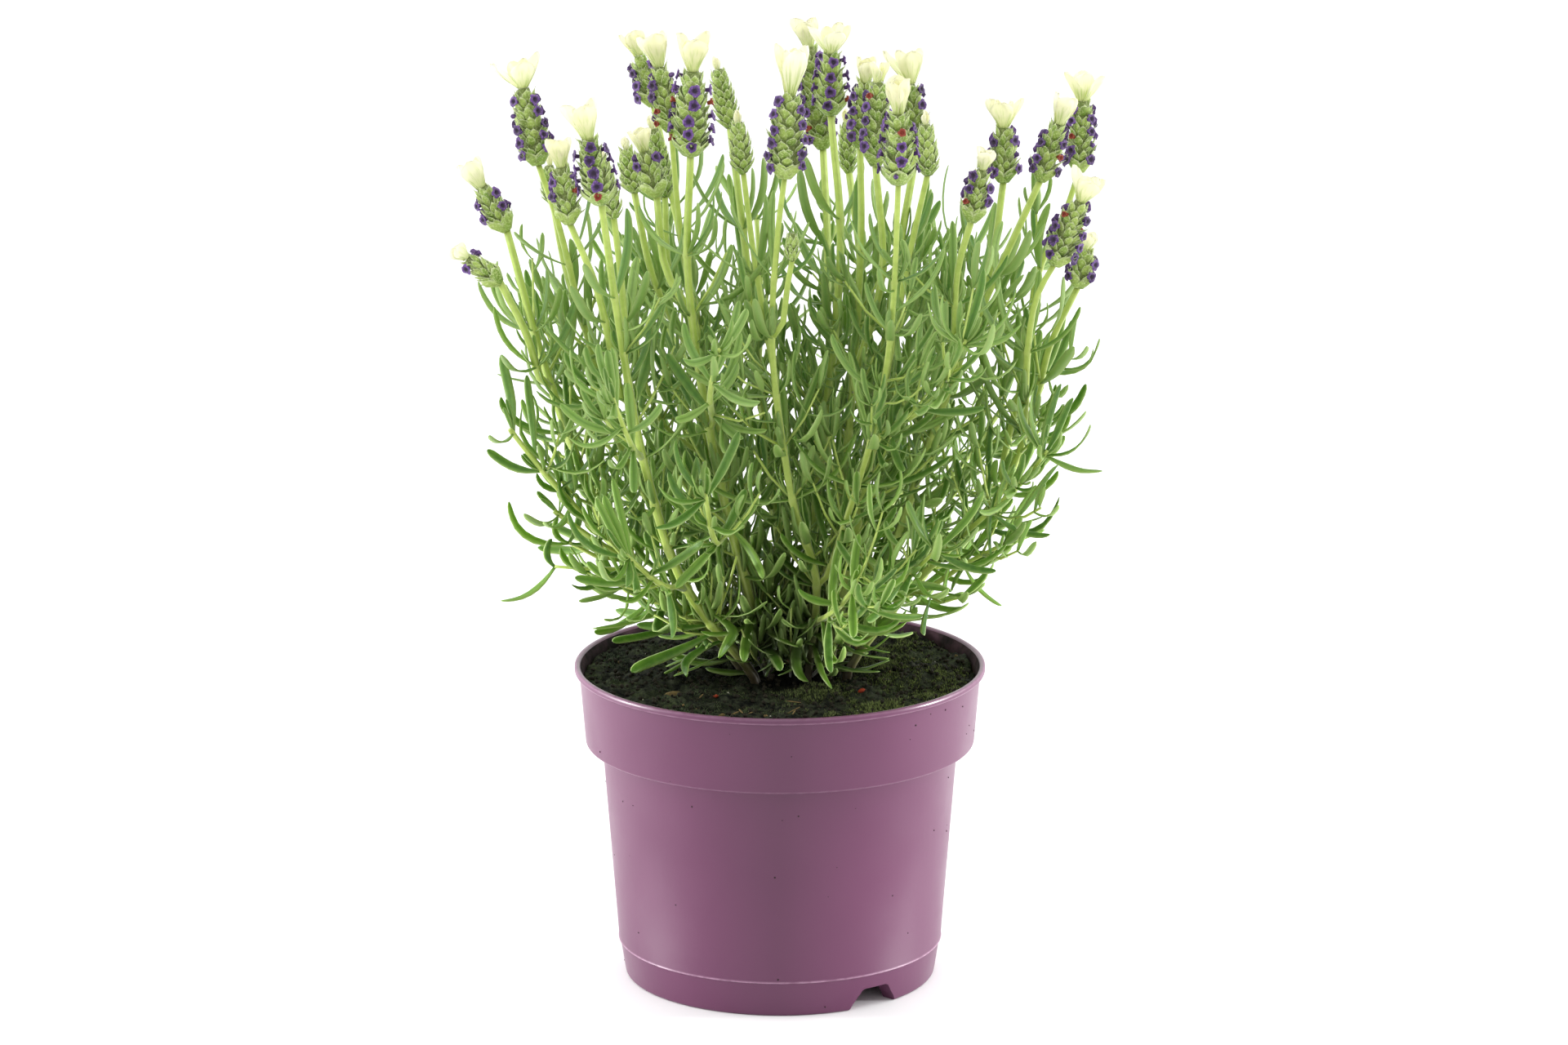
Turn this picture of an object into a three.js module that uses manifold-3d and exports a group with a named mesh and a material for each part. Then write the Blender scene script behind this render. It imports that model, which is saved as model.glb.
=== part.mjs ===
// Spanish lavender in a round plastic grower's pot.
// Millimetres, +Z up. The origin is on the pot's axis, on the surface that it stands on.
// -Y is the front. +X is the viewer's right.
import * as THREE from 'three';
import { mergeVertices } from 'three/addons/utils/BufferGeometryUtils.js';
import Module from 'manifold-3d';

const wasm = await Module();
wasm.setup();

// Pot: a standard 17 cm pot, turned from one profile
const SIDES = 36;
const POT_HEIGHT = 133;
const LIP_RADIUS = 85.3;
const LIP_HEIGHT = 3;
const LIP_ROUND = 0.7;
const LIP_INNER_RADIUS = 83.3;
const COLLAR_TOP_RADIUS = 83.3;
const COLLAR_LOW_RADIUS = 80.8;
const COLLAR_LOW_Z = 100;
const WALL_TOP_RADIUS = 74;
const WALL_LOW_RADIUS = 67.4;
const WALL = 1.5;
const LEDGE_Z = 15;
const LEDGE = 0.5;
const FOOT_RADIUS = 65;
const FOOT_ROUND = 0.8;
const FOOT_RING = 7;
const FLOOR_Z = 8.5;
const FLOOR = 1.5;

// Foot notches: a pocket in the foot ring, and a guessed twin opposite it
const NOTCH_ANGLE = 36.9;
const NOTCH_HALF_LOW = 9.9;
const NOTCH_HALF_TOP = 5.8;
const NOTCH_HEIGHT = 9;
const NOTCH_BACK_RADIUS = 57;
const NOTCH_CUT_RADIUS = 71;

// Drain holes through the floor
const DRAIN_COUNT = 4;
const DRAIN_RADIUS = 5;
const DRAIN_CIRCLE = 44;

// Compost
const GAP = 0.3;
const SOIL_Z = 128;
const SOIL_RINGS = [80.6, 63, 41, 19];
const SOIL_BUMP = 1.1;
const CLOD_WIDE = 0.12;
const CLOD_FINE = 0.19;
const HOLE_REACH = 17;
const HOLE_CLEAR = 0.4;
const HOLE_SIDES = 6;

// Stems: square in section, half the diagonal at the soil and at the flower head
const STEM_SIDES = 4;
const STEM_LOW = 2.3;
const STEM_HIGH = 1.5;
const BRANCH_LOW = 1.8;
const SHOOT_LOW = 1.6;
const SHOOT_HIGH = 1;
const BARE_STRETCH = 34;
const CURVE_STEPS = 8;

// Stalks: where a branch leaves its joint, and the lengths that stay bare below the flowers and at the foot
const BARE_PEDUNCLE = 44;
const BARE_FOOT = 27;
const BRANCH_FOOT = 12;
const BRANCH_RISE = 4.5;
const BRANCH_OFFSET = 4.2;
const END_RING = 5;

// Joints lie further apart towards the top. These two heights are the lowest and the highest leaves'.
const JOINT_HEIGHT = 2.4;
const JOINT_GAP_LOW = 18;
const JOINT_GAP_HIGH = 28;
const LOW_LEAVES_Z = 140;
const HIGH_LEAVES_Z = 340;

// Blades: the share of the length, and the share of the full width there
const LONG_LEAF = [[0.4, 1], [0.76, 0.82]];
const SHORT_LEAF = [[0.48, 1]];
const BRACT_SHAPE = [[0.5, 1], [0.86, 0.78]];

// Leaves: how far they open from the stalk in degrees and how they bend upwards, low and high on the plant
const LEAF_THICKNESS = 1;
const LEAF_LONGEST = 42;
const LEAF_SHORTEST = 25;
const LONG_LEAF_FROM = 29;
const LEAF_NARROWEST = 3;
const LEAF_WIDENING = 0.04;
const SHOOT_LEAF_SIZE = 0.8;
const OPEN_LOW = 74;
const OPEN_HIGH = 44;
const OPEN_SPREAD = 8;
const BEND_LOW = 0.1;
const BEND_HIGH = 0.5;
const BEND_SPREAD = 0.25;
const LEAF_SEED = 4207;

// Clearance: a leaf is turned aside and lifted by these angles until nothing is in its way
const LEAF_NUDGES = [0, 0.3, -0.3, 0.6, -0.6];
const LEAF_LIFTS = [0, -0.25, 0.2];
const LEAF_PROBES = [0.16, 0.3, 0.45, 0.6, 0.75, 0.9, 1];
const LOWEST_LEAF_Z = 133;
const CLEARANCE = 0.5;
const BALL_STEP = 2.5;
const SEED_STEP = 77;

// Flower heads
const HEAD_SIDES = 8;
const SCALE_PITCH = 5.2;
const OPEN_FLORETS = 12;
const SCALE_VALLEY = 0.76;
const SCALE_LIFT = 0.3;
const HEAD_WIDEST = 0.25;
const HEAD_FOOT = 0.5;
const HEAD_TAPER = 0.5;
const HEAD_SINK = 0.05;
const FLORET_RADIUS = 1.7;
const FLORET_RISE = 1.1;
const FLORET_CUP = 0.5;
const BRACT_BASE = 2;
const BRACT_TAPER = 0.8;
const BRACT_WIDEST = 9.6;
const BRACT_NARROWEST = 3;
const BRACT_WIDENING = 0.42;
const BRACT_SHORTEST = 0.86;
const BRACT_SPREAD = 4;
const BRACT_SEED = 9001;

// Colours
const PURPLE_PLASTIC = new THREE.MeshStandardMaterial({ color: 0x966c86, roughness: 0.45, metalness: 0 });
const COMPOST = new THREE.MeshStandardMaterial({ color: 0x23241a, roughness: 1, metalness: 0 });
const LEAF_GREEN = new THREE.MeshStandardMaterial({ color: 0x6f8f45, roughness: 0.7, metalness: 0 });
const HEAD_PURPLE = new THREE.MeshStandardMaterial({ color: 0x5d4478, roughness: 0.8, metalness: 0 });
const BRACT_CREAM = new THREE.MeshStandardMaterial({ color: 0xeff0cc, roughness: 0.6, metalness: 0 });

// The plant by hand: where each stem stands, the points that its stalks pass, and what ends each stalk.
// Every stalk after the first grows from the first one, at the given share of its length.
// An end with a head number has a flower head and bracts of its own. One without is a green head or a bud,
// which is grown as one with its stem. A stalk with no end carries leaves alone.
const PLANT = [
  {
    stem: [[-13, 2, 116], [-20, 2, 136], [-64, 2, 176], [-82, 4, 215], [-98, 6, 262], [-112, 8, 315]],
    end: { head: '02', top: [-122, 9, 332], radius: 4.9, florets: 8, bracts: 3, length: 14, spread: 14 },
    stalks: [
      {
        from: 0.73, via: [[-104, -6, 275], [-114, -15, 298]],
        end: { head: '01', top: [-127, -16, 308], radius: 4, florets: 2, bracts: 2, length: 8, spread: 10 },
      },
      { from: 0.28, via: [[-75, -6, 186], [-93, -8, 200]] },
      { from: 0.45, via: [[-98, -22, 222], [-110, -30, 240]] },
    ],
  },
  {
    stem: [[-8, 13, 116], [-14, 14, 138], [-60, 20, 207], [-80, 28, 266], [-91, 35, 309], [-100, 40, 336]],
    end: { head: '03', top: [-106, 43, 367], radius: 6.2, bracts: 3, length: 17, spread: 38 },
    stalks: [
      { from: 0.68, via: [[-90, 50, 292], [-95, 60, 316]], end: { top: [-96, 61, 331], radius: 4 } },
      { from: 0.3, via: [[-54, 44, 190], [-76, 66, 214]] },
      { from: 0.5, via: [[-84, 50, 238], [-98, 62, 262]] },
    ],
  },
  {
    stem: [
      [-8, -10, 116], [-12, -11, 132], [-40, -20, 173],
      [-56, -36, 231], [-65, -52, 291], [-71, -68, 342],
    ],
    end: { head: '05', top: [-76, -70, 368], radius: 5.9, bracts: 3, length: 17, spread: 18 },
    stalks: [
      {
        from: 0.6, via: [[-73, -43, 299], [-85, -30, 326]],
        end: { head: '04', top: [-88, -31, 349], radius: 4.9, florets: 4, bracts: 3, length: 13, spread: 12 },
      },
      { from: 0.7, via: [[-64, -42, 306], [-67, -35, 330]], end: { top: [-71, -34, 351], radius: 4.2 } },
      { from: 0.27, via: [[-48, -44, 178], [-62, -72, 198]] },
      { from: 0.5, via: [[-60, -76, 246], [-66, -103, 270]] },
    ],
  },
  {
    stem: [[-3, -4, 116], [-6, -5, 136], [-26, -13, 220], [-37, -20, 297], [-36, -30, 354]],
    end: { head: '09', top: [-35, -31, 388], radius: 6.7, bracts: 3, length: 17, spread: 20 },
    stalks: [
      {
        from: 0.68, via: [[-47, -10, 304], [-50, -10, 333]],
        end: { head: '11', top: [-55, -10, 351], radius: 5.2, florets: 3, bracts: 3, length: 11, spread: 12 },
      },
      { from: 0.3, via: [[-26, -44, 196], [-30, -76, 224]] },
      { from: 0.52, via: [[-28, -62, 262], [-24, -94, 288]] },
    ],
  },
  {
    stem: [[-1, 5, 116], [-3, 7, 136], [-24, 20, 215], [-40, 36, 300], [-45, 45, 349]],
    end: { head: '08', top: [-50, 47, 375], radius: 5, bracts: 3, length: 15, spread: 16 },
    stalks: [
      { from: 0.6, via: [[-52, 23, 290], [-60, 20, 329]], end: { top: [-63, 20, 346], radius: 4.6 } },
      { from: 0.42, via: [[-48, 18, 230], [-58, 14, 256]] },
    ],
  },
  {
    stem: [[-2, 16, 116], [-5, 20, 138], [-24, 48, 215], [-42, 74, 300], [-53, 90, 351]],
    end: { head: '07', top: [-59, 93, 371], radius: 5, bracts: 3, length: 12, spread: 14 },
    stalks: [
      { from: 0.58, via: [[-46, 58, 284], [-48, 62, 319]], end: { top: [-53, 63, 346], radius: 4.7 } },
      { from: 0.28, via: [[-26, 62, 174], [-42, 90, 196]] },
      { from: 0.5, via: [[-48, 88, 256], [-60, 106, 284]] },
    ],
  },
  {
    stem: [[6, 14, 116], [5, 18, 138], [-6, 42, 220], [-15, 60, 300], [-21, 72, 346]],
    end: { top: [-26, 75, 369], radius: 4.9 },
    stalks: [
      { from: 0.28, via: [[4, 60, 176], [6, 92, 204]] },
      { from: 0.52, via: [[-8, 84, 264], [-10, 108, 300]] },
    ],
  },
  {
    stem: [
      [10, -9, 116], [12, -9, 134], [15, -15, 173], [5, -24, 210],
      [-3, -33, 272], [-1, -41, 321], [2, -45, 348],
    ],
    end: { head: '15', top: [4, -46, 381], radius: 7.1, bracts: 3, length: 22, spread: 12 },
    stalks: [
      {
        from: 0.25, via: [[28, -31, 205], [39, -46, 248], [45, -62, 293], [47, -78, 352]],
        end: { head: '20', top: [47, -79, 380], radius: 5.7, bracts: 3, length: 15, spread: 10 },
      },
      { from: 0.62, via: [[-10, -18, 306], [-15, -8, 343]], end: { top: [-17, -8, 362], radius: 4.6 } },
      { from: 0.72, via: [[3, -43, 302], [5, -46, 314]], end: { top: [5, -46, 325], radius: 2.8 } },
      { from: 0.12, via: [[22, -42, 166], [30, -72, 184]] },
    ],
  },
  {
    stem: [[8, 5, 116], [9, 8, 136], [17, 18, 215], [25, 26, 300], [21, 40, 357]],
    end: { head: '17', top: [21, 41, 382], radius: 5.2, bracts: 3, length: 14, spread: 34 },
    stalks: [
      {
        from: 0.58, via: [[20, 52, 296], [18, 74, 336]],
        end: { head: '16', top: [12, 76, 378], radius: 5.7, bracts: 3, length: 13, spread: 14 },
      },
      { from: 0.42, via: [[22, 46, 236], [26, 66, 262]] },
    ],
  },
  {
    stem: [[15, 0, 116], [16, 2, 136], [27, 8, 215], [33, 14, 300], [33, 22, 347]],
    end: { head: '18', top: [35, 23, 373], radius: 5, bracts: 3, length: 11, spread: 12 },
    stalks: [
      {
        from: 0.6, via: [[42, 3, 298], [39, -1, 344]],
        end: { head: '19', top: [40, -2, 378], radius: 5.2, florets: 8, bracts: 2, length: 9, spread: 10 },
      },
      { from: 0.42, via: [[50, 14, 238], [60, 18, 266]] },
    ],
  },
  {
    stem: [[19, -8, 116], [21, -9, 136], [36, -14, 215], [51, -15, 300], [60, -18, 344]],
    end: { top: [59, -19, 364], radius: 4.4 },
    stalks: [
      { from: 0.27, via: [[46, -42, 178], [64, -68, 200]] },
      { from: 0.5, via: [[62, -52, 258], [74, -78, 288]] },
    ],
  },
  {
    stem: [[14, 14, 116], [17, 18, 138], [36, 34, 215], [50, 46, 300], [57, 55, 340]],
    end: { head: '21', top: [54, 57, 366], radius: 5, bracts: 3, length: 17, spread: 24 },
    stalks: [
      { from: 0.52, via: [[34, 76, 284], [29, 96, 322]], end: { top: [28, 98, 342], radius: 4 } },
      { from: 0.27, via: [[42, 60, 178], [60, 84, 202]] },
      { from: 0.5, via: [[66, 76, 256], [78, 92, 286]] },
    ],
  },
  {
    stem: [[23, 3, 116], [25, 2, 134], [48, -1, 187], [62, -3, 229], [78, -5, 274], [106, -8, 339]],
    end: { head: '26', top: [113, -8, 362], radius: 4.7, bracts: 3, length: 13, spread: 16 },
    stalks: [
      {
        from: 0.58, via: [[71, -22, 282], [72, -35, 308], [77, -45, 330]],
        end: { head: '24', top: [81, -46, 351], radius: 4.6, florets: 7, bracts: 3, length: 9, spread: 10 },
      },
      {
        from: 0.55, via: [[82, 14, 280], [88, 20, 303], [92, 24, 332]],
        end: { head: '25', top: [92, 25, 354], radius: 5.4, bracts: 3, length: 14, spread: 28 },
      },
      { from: 0.33, via: [[72, 28, 206], [94, 46, 232]] },
    ],
  },
  {
    stem: [
      [27, -5, 116], [30, -5, 134], [58, -3, 170], [90, -3, 205],
      [104, -4, 242], [111, -5, 270], [122, -5, 294],
    ],
    end: { head: '29', top: [125, -5, 309], radius: 4.6, bracts: 2, length: 8, spread: 12 },
    stalks: [
      {
        from: 0.62, via: [[101, -22, 272], [104, -30, 295], [111, -35, 310]],
        end: { head: '28', top: [121, -37, 336], radius: 5.7, bracts: 3, length: 14, spread: 26 },
      },
      {
        from: 0.52, via: [[102, 20, 258], [106, 32, 288], [118, 42, 314], [124, 45, 332]],
        end: { head: '27', top: [125, 46, 361], radius: 5.2, bracts: 3, length: 14, spread: 30 },
      },
      { from: 0.28, via: [[78, -14, 180], [94, -20, 190]] },
      { from: 0.4, via: [[96, -34, 216], [108, -52, 236]] },
    ],
  },
];

// A draw between low and high from a seeded row of numbers
function drawer(seed) {
  let state = seed;
  return (low, high) => {
    state = (state * 16807) % 2147483647;
    return low + (high - low) * (state / 2147483647);
  };
}

const radians = (degrees) => (degrees * Math.PI) / 180;
const mix = (a, b, t) => a + (b - a) * t;
const vec = (x, y, z) => new THREE.Vector3(x, y, z);
const UP = vec(0, 0, 1);

// A three.js geometry as a solid that can be joined and cut
function solid(geometry) {
  const bare = geometry.clone();
  bare.deleteAttribute('normal');
  bare.deleteAttribute('uv');
  const merged = mergeVertices(bare, 1e-4);
  return new wasm.Manifold(new wasm.Mesh({
    numProp: 3,
    vertProperties: new Float32Array(merged.attributes.position.array),
    triVerts: new Uint32Array(merged.index.array),
  }));
}

function fuse(geometries) {
  return wasm.Manifold.union(geometries.map(solid));
}

function mesh(name, body, material) {
  const { vertProperties, triVerts } = body.getMesh();
  const geometry = new THREE.BufferGeometry();
  geometry.setAttribute('position', new THREE.BufferAttribute(vertProperties, 3));
  geometry.setIndex(new THREE.BufferAttribute(triVerts, 1));
  geometry.computeVertexNormals();
  const made = new THREE.Mesh(geometry, material);
  made.name = name;
  return made;
}

// A closed skin that grows ring by ring. Corners that two rings share make no face.
class Skin {
  points = [];
  faces = [];

  ring(points) {
    const first = this.points.length;
    this.points.push(...points);
    return points.map((_, i) => first + i);
  }

  face(a, b, c) {
    if (a !== b && b !== c && c !== a) this.faces.push(a, b, c);
  }

  side(low, high, i, crossed = false) {
    const j = (i + 1) % low.length;
    const [a, b] = crossed ? [low[j], high[i]] : [low[i], high[j]];
    this.face(low[i], low[j], b);
    this.face(a, high[j], high[i]);
  }

  band(low, high) {
    for (let i = 0; i < low.length; i += 1) this.side(low, high, i);
  }

  cap(ring) {
    for (let i = 1; i + 1 < ring.length; i += 1) this.face(ring[0], ring[i], ring[i + 1]);
  }

  geometry() {
    return new THREE.BufferGeometry().setFromPoints(this.points).setIndex(this.faces);
  }
}

function loft(rings) {
  const skin = new Skin();
  const placed = rings.map((ring) => skin.ring(ring));
  for (let k = 0; k + 1 < placed.length; k += 1) skin.band(placed[k], placed[k + 1]);
  skin.cap([...placed[0]].reverse());
  skin.cap(placed[placed.length - 1]);
  return skin.geometry();
}

// A smooth line through hand-chosen points, kept as short straight steps
function curveThrough(points) {
  const curve = new THREE.CatmullRomCurve3(points, false, 'catmullrom', 0.5);
  return lineOf(curve.getPoints((points.length - 1) * CURVE_STEPS));
}

function lineOf(points) {
  const reach = [0];
  for (let i = 1; i < points.length; i += 1) {
    reach.push(reach[i - 1] + points[i].distanceTo(points[i - 1]));
  }
  return { points, reach, length: reach[reach.length - 1] };
}

// The point, direction and two square-on directions at a distance along a line
function placeOn(line, distance) {
  let i = 1;
  while (i + 1 < line.points.length && line.reach[i] < distance) i += 1;
  const share = (distance - line.reach[i - 1]) / (line.reach[i] - line.reach[i - 1]);
  const point = line.points[i - 1].clone().lerp(line.points[i], share);
  const along = line.points[i].clone().sub(line.points[i - 1]).normalize();
  const side = vec(1, 0, 0).addScaledVector(along, -along.x).normalize();
  const other = along.clone().cross(side);
  return { point, along, side, other };
}

function ringAt(place, radius, sides, turn = 0) {
  const ring = [];
  for (let i = 0; i < sides; i += 1) {
    const out = outward(place, turn + (2 * Math.PI * i) / sides);
    ring.push(place.point.clone().addScaledVector(out, radius));
  }
  return ring;
}

function outward(place, angle) {
  return place.side.clone().multiplyScalar(Math.cos(angle)).addScaledVector(place.other, Math.sin(angle));
}

// Clearance between the grown pieces: each is kept as a chain of balls along its middle
const grown = [];

function ballsOn(points, radius, line = null) {
  for (let i = 0; i + 1 < points.length; i += 1) {
    const steps = Math.max(1, Math.ceil(points[i].distanceTo(points[i + 1]) / BALL_STEP));
    for (let k = 0; k < steps; k += 1) {
      grown.push({ at: points[i].clone().lerp(points[i + 1], k / steps), radius, line });
    }
  }
}

function isClear(points, radius, line) {
  for (const ball of grown) {
    if (ball.line === line) continue;
    const reach = ball.radius + radius + CLEARANCE;
    for (const point of points) {
      if (Math.abs(point.x - ball.at.x) < reach && point.distanceTo(ball.at) < reach) return false;
    }
  }
  return true;
}

// A leaf's middle line: it leaves the stalk at an angle and bends towards the sky or the ground
function leafLine(place, azimuth, open, length, bend) {
  const start = place.along.clone().multiplyScalar(Math.cos(open))
    .addScaledVector(outward(place, azimuth), Math.sin(open));
  const end = start.clone().addScaledVector(UP, bend).normalize();
  const middle = place.point.clone().addScaledVector(start, length / 2);
  const tip = middle.clone().addScaledVector(end, length / 2);
  const across = place.along.clone().cross(start).normalize();
  return { curve: new THREE.QuadraticBezierCurve3(place.point, middle, tip), across };
}

// A blade with a flat upper face and a keel under it, grown from one face of a joint
function growLeaf(skin, root, { curve, across }, width, shape) {
  let last = root;
  for (const [share, wide] of shape) {
    const point = curve.getPoint(share);
    const upper = curve.getTangent(share).cross(across).normalize();
    const half = (width * wide) / 2;
    const [left, right, keel] = skin.ring([
      point.clone().addScaledVector(across, -half),
      point.clone().addScaledVector(across, half),
      point.clone().addScaledVector(upper, -LEAF_THICKNESS),
    ]);
    const next = [keel, keel, right, left];
    skin.band(last, next);
    last = next;
  }
  const [tip] = skin.ring([curve.getPoint(1)]);
  skin.band(last, [tip, tip, tip, tip]);
}

// How high on the plant a point is, from 0 at the lowest leaves to 1 at the highest
function rise(point) {
  return Math.min(1, Math.max(0, (point.z - LOW_LEAVES_Z) / (HIGH_LEAVES_Z - LOW_LEAVES_Z)));
}

// The leaf on one face of a joint, turned a little aside where something is in its way
function freeLeaf(place, azimuth, stalk, draw) {
  const height = rise(place.point);
  const open = radians(mix(OPEN_LOW, OPEN_HIGH, height) + draw(-OPEN_SPREAD, OPEN_SPREAD));
  const share = draw(0, 1) * Math.sin(Math.PI * mix(0.25, 0.8, height));
  const length = stalk.size * mix(LEAF_SHORTEST, LEAF_LONGEST, share);
  const bend = mix(BEND_LOW, BEND_HIGH, height) + draw(-BEND_SPREAD, BEND_SPREAD);
  const width = LEAF_NARROWEST + length * LEAF_WIDENING;
  for (const nudge of LEAF_NUDGES) {
    for (const lift of LEAF_LIFTS) {
      const line = leafLine(place, azimuth + nudge, open + lift, length, bend);
      const points = LEAF_PROBES.map((at) => line.curve.getPoint(at));
      const high = points.every((point) => point.z > LOWEST_LEAF_Z);
      if (high && isClear(points, width / 2, stalk.line)) {
        ballsOn(points, width / 2);
        return { line, width, shape: length > LONG_LEAF_FROM ? LONG_LEAF : SHORT_LEAF };
      }
    }
  }
  return null;
}

// Where the joints of a stalk are, counted down from its top
function jointsOn({ line, bare, foot }) {
  const joints = [];
  let distance = line.length - bare;
  while (distance > foot) {
    joints.unshift(distance);
    distance -= mix(JOINT_GAP_LOW, JOINT_GAP_HIGH, rise(placeOn(line, distance).point));
  }
  return joints;
}

function faceAzimuth(turn, i) {
  return turn + (2 * Math.PI * (i + 0.5)) / STEM_SIDES;
}

// A square stalk. Its joints carry a pair of leaves, each pair a quarter turn from the last,
// and a joint's face that a branch leaves from carries the branch instead.
function growStalk(skin, root, stalk, draw) {
  const { line, low, high, joints, branches } = stalk;
  const start = root ? stalk.neck : 0;
  let { turn } = stalk;
  if (root) {
    const place = placeOn(line, start);
    const corner = skin.points[root[0]].clone().sub(placeOn(line, 0).point);
    turn = Math.atan2(corner.dot(place.other), corner.dot(place.side));
  }
  const ring = (distance) => skin.ring(
    ringAt(placeOn(line, distance), mix(low, high, distance / line.length), STEM_SIDES, turn),
  );
  let last = ring(start);
  if (root) skin.band(root, last);
  else skin.cap([...last].reverse());
  let reached = start;
  const climb = (to) => {
    const steps = Math.ceil((to - reached) / BARE_STRETCH);
    const from = reached;
    for (let k = 1; k <= steps; k += 1) {
      const next = ring(mix(from, to, k / steps));
      skin.band(last, next);
      last = next;
    }
    reached = to;
  };
  if (!root) climb(HOLE_REACH);
  for (const [order, joint] of joints.entries()) {
    climb(joint - JOINT_HEIGHT / 2);
    const next = ring(joint + JOINT_HEIGHT / 2);
    for (let i = 0; i < STEM_SIDES; i += 1) {
      const j = (i + 1) % STEM_SIDES;
      const face = [last[i], last[j], next[j], next[i]];
      const branch = branches.find((one) => one.joint === order && one.face === i);
      const leafy = !branch && (i + order) % 2 === 0;
      const leaf = leafy ? freeLeaf(placeOn(line, joint), faceAzimuth(turn, i), stalk, draw) : null;
      if (branch) growStalk(skin, face, branch, draw);
      else if (leaf) growLeaf(skin, face, leaf.line, leaf.width, leaf.shape);
      else skin.side(last, next, i);
    }
    last = next;
    reached = joint + JOINT_HEIGHT / 2;
  }
  if (stalk.end) {
    climb(line.length - END_RING);
    const next = skin.ring(ringAt(stalk.seat, high, STEM_SIDES, turn));
    skin.band(last, next);
    last = next;
  } else {
    climb(line.length);
  }
  skin.cap(last);
}

// A spike of scales: the corners of its rings stand out and in by turns, as overlapping scales do.
// Florets sit on the outer corners of every other ring, in four columns.
function spike(axis, radius, openFlorets) {
  const skin = new Skin();
  const count = Math.max(4, Math.round(axis.length / SCALE_PITCH));
  const florets = new Set();
  const rings = [];
  for (let k = 0; k <= count; k += 1) {
    const share = k / count;
    const swell = share < HEAD_WIDEST
      ? mix(HEAD_FOOT, 1, Math.sin((share / HEAD_WIDEST) * (Math.PI / 2)))
      : 1 - HEAD_TAPER * ((share - HEAD_WIDEST) / (1 - HEAD_WIDEST)) ** 2;
    const end = k === 0 || k === count;
    const ring = [];
    for (let i = 0; i < HEAD_SIDES; i += 1) {
      const out = (i + k) % 2 === 0;
      const lift = out && !end ? SCALE_LIFT * (axis.length / count) : 0;
      const wide = radius * swell * (out || end ? 1 : SCALE_VALLEY);
      const place = placeOn(axis, share * axis.length + lift);
      ring.push(place.point.addScaledVector(outward(place, (2 * Math.PI * i) / HEAD_SIDES), wide));
    }
    rings.push(skin.ring(ring));
    if (!end && k % 2 === 1) {
      for (let i = 1; i < HEAD_SIDES; i += 2) florets.add(rings[k][i]);
    }
  }
  for (let k = 0; k < count; k += 1) {
    for (let i = 0; i < HEAD_SIDES; i += 1) skin.side(rings[k], rings[k + 1], i, (i + k) % 2 === 0);
  }
  skin.cap([...rings[0]].reverse());
  skin.cap(rings[count]);
  const high = [...florets].reverse().slice(0, openFlorets);
  const middle = axis.points[0];
  const along = axis.points[1].clone().sub(middle).normalize();
  for (const corner of high) raiseFloret(skin, corner, middle, along);
  return skin.geometry();
}

// A corner of a skin swapped for a small flared cup with a rim point towards each neighbour
function raiseFloret(skin, corner, middle, along) {
  const tip = skin.points[corner];
  const out = tip.clone().sub(middle);
  out.addScaledVector(along, -out.dot(along)).normalize();
  const around = [];
  const kept = [];
  for (let f = 0; f < skin.faces.length; f += 3) {
    const face = skin.faces.slice(f, f + 3);
    const at = face.indexOf(corner);
    if (at < 0) kept.push(...face);
    else around.push([face[(at + 1) % 3], face[(at + 2) % 3]]);
  }
  skin.faces = kept;
  const rim = new Map();
  for (const [neighbour] of around) {
    const towards = skin.points[neighbour].clone().sub(tip);
    towards.addScaledVector(out, -towards.dot(out)).normalize();
    const point = tip.clone().addScaledVector(out, FLORET_RISE).addScaledVector(towards, FLORET_RADIUS);
    rim.set(neighbour, skin.ring([point])[0]);
  }
  const [centre] = skin.ring([tip.clone().addScaledVector(out, FLORET_RISE - FLORET_CUP)]);
  for (const [from, to] of around) {
    skin.face(rim.get(from), from, to);
    skin.face(rim.get(from), to, rim.get(to));
    skin.face(centre, rim.get(from), rim.get(to));
  }
}

// Cream bracts that grow from every other face of one small base
function tuft(place, end, draw) {
  const skin = new Skin();
  const sides = 2 * end.bracts;
  const turn = draw(0, Math.PI);
  const peak = place.point.clone().addScaledVector(place.along, BRACT_BASE);
  const low = skin.ring(ringAt(place, BRACT_BASE, sides, turn));
  const high = skin.ring(ringAt({ ...place, point: peak }, BRACT_BASE * BRACT_TAPER, sides, turn));
  skin.cap([...low].reverse());
  skin.cap(high);
  for (let i = 0; i < sides; i += 1) {
    if (i % 2 === 1) {
      skin.side(low, high, i);
    } else {
      const j = (i + 1) % sides;
      const out = outward(place, turn + (2 * Math.PI * (i + 0.5)) / sides);
      const open = radians(end.spread + draw(-BRACT_SPREAD, BRACT_SPREAD));
      const along = place.along.clone().multiplyScalar(Math.cos(open)).addScaledVector(out, Math.sin(open));
      const root = place.point.clone().addScaledVector(out, BRACT_BASE * BRACT_TAPER);
      const length = end.length * draw(BRACT_SHORTEST, 1);
      const line = new THREE.LineCurve3(root, root.clone().addScaledVector(along, length));
      const across = place.along.clone().cross(out).normalize();
      const width = Math.min(BRACT_WIDEST, BRACT_NARROWEST + end.length * BRACT_WIDENING);
      growLeaf(skin, [low[i], low[j], high[j], high[i]], { curve: line, across }, width, BRACT_SHAPE);
    }
  }
  return solid(skin.geometry());
}

function lathe(profile) {
  const points = profile.map(([radius, z]) => new THREE.Vector2(radius, z));
  return new THREE.LatheGeometry(points, SIDES).rotateX(Math.PI / 2);
}

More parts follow.
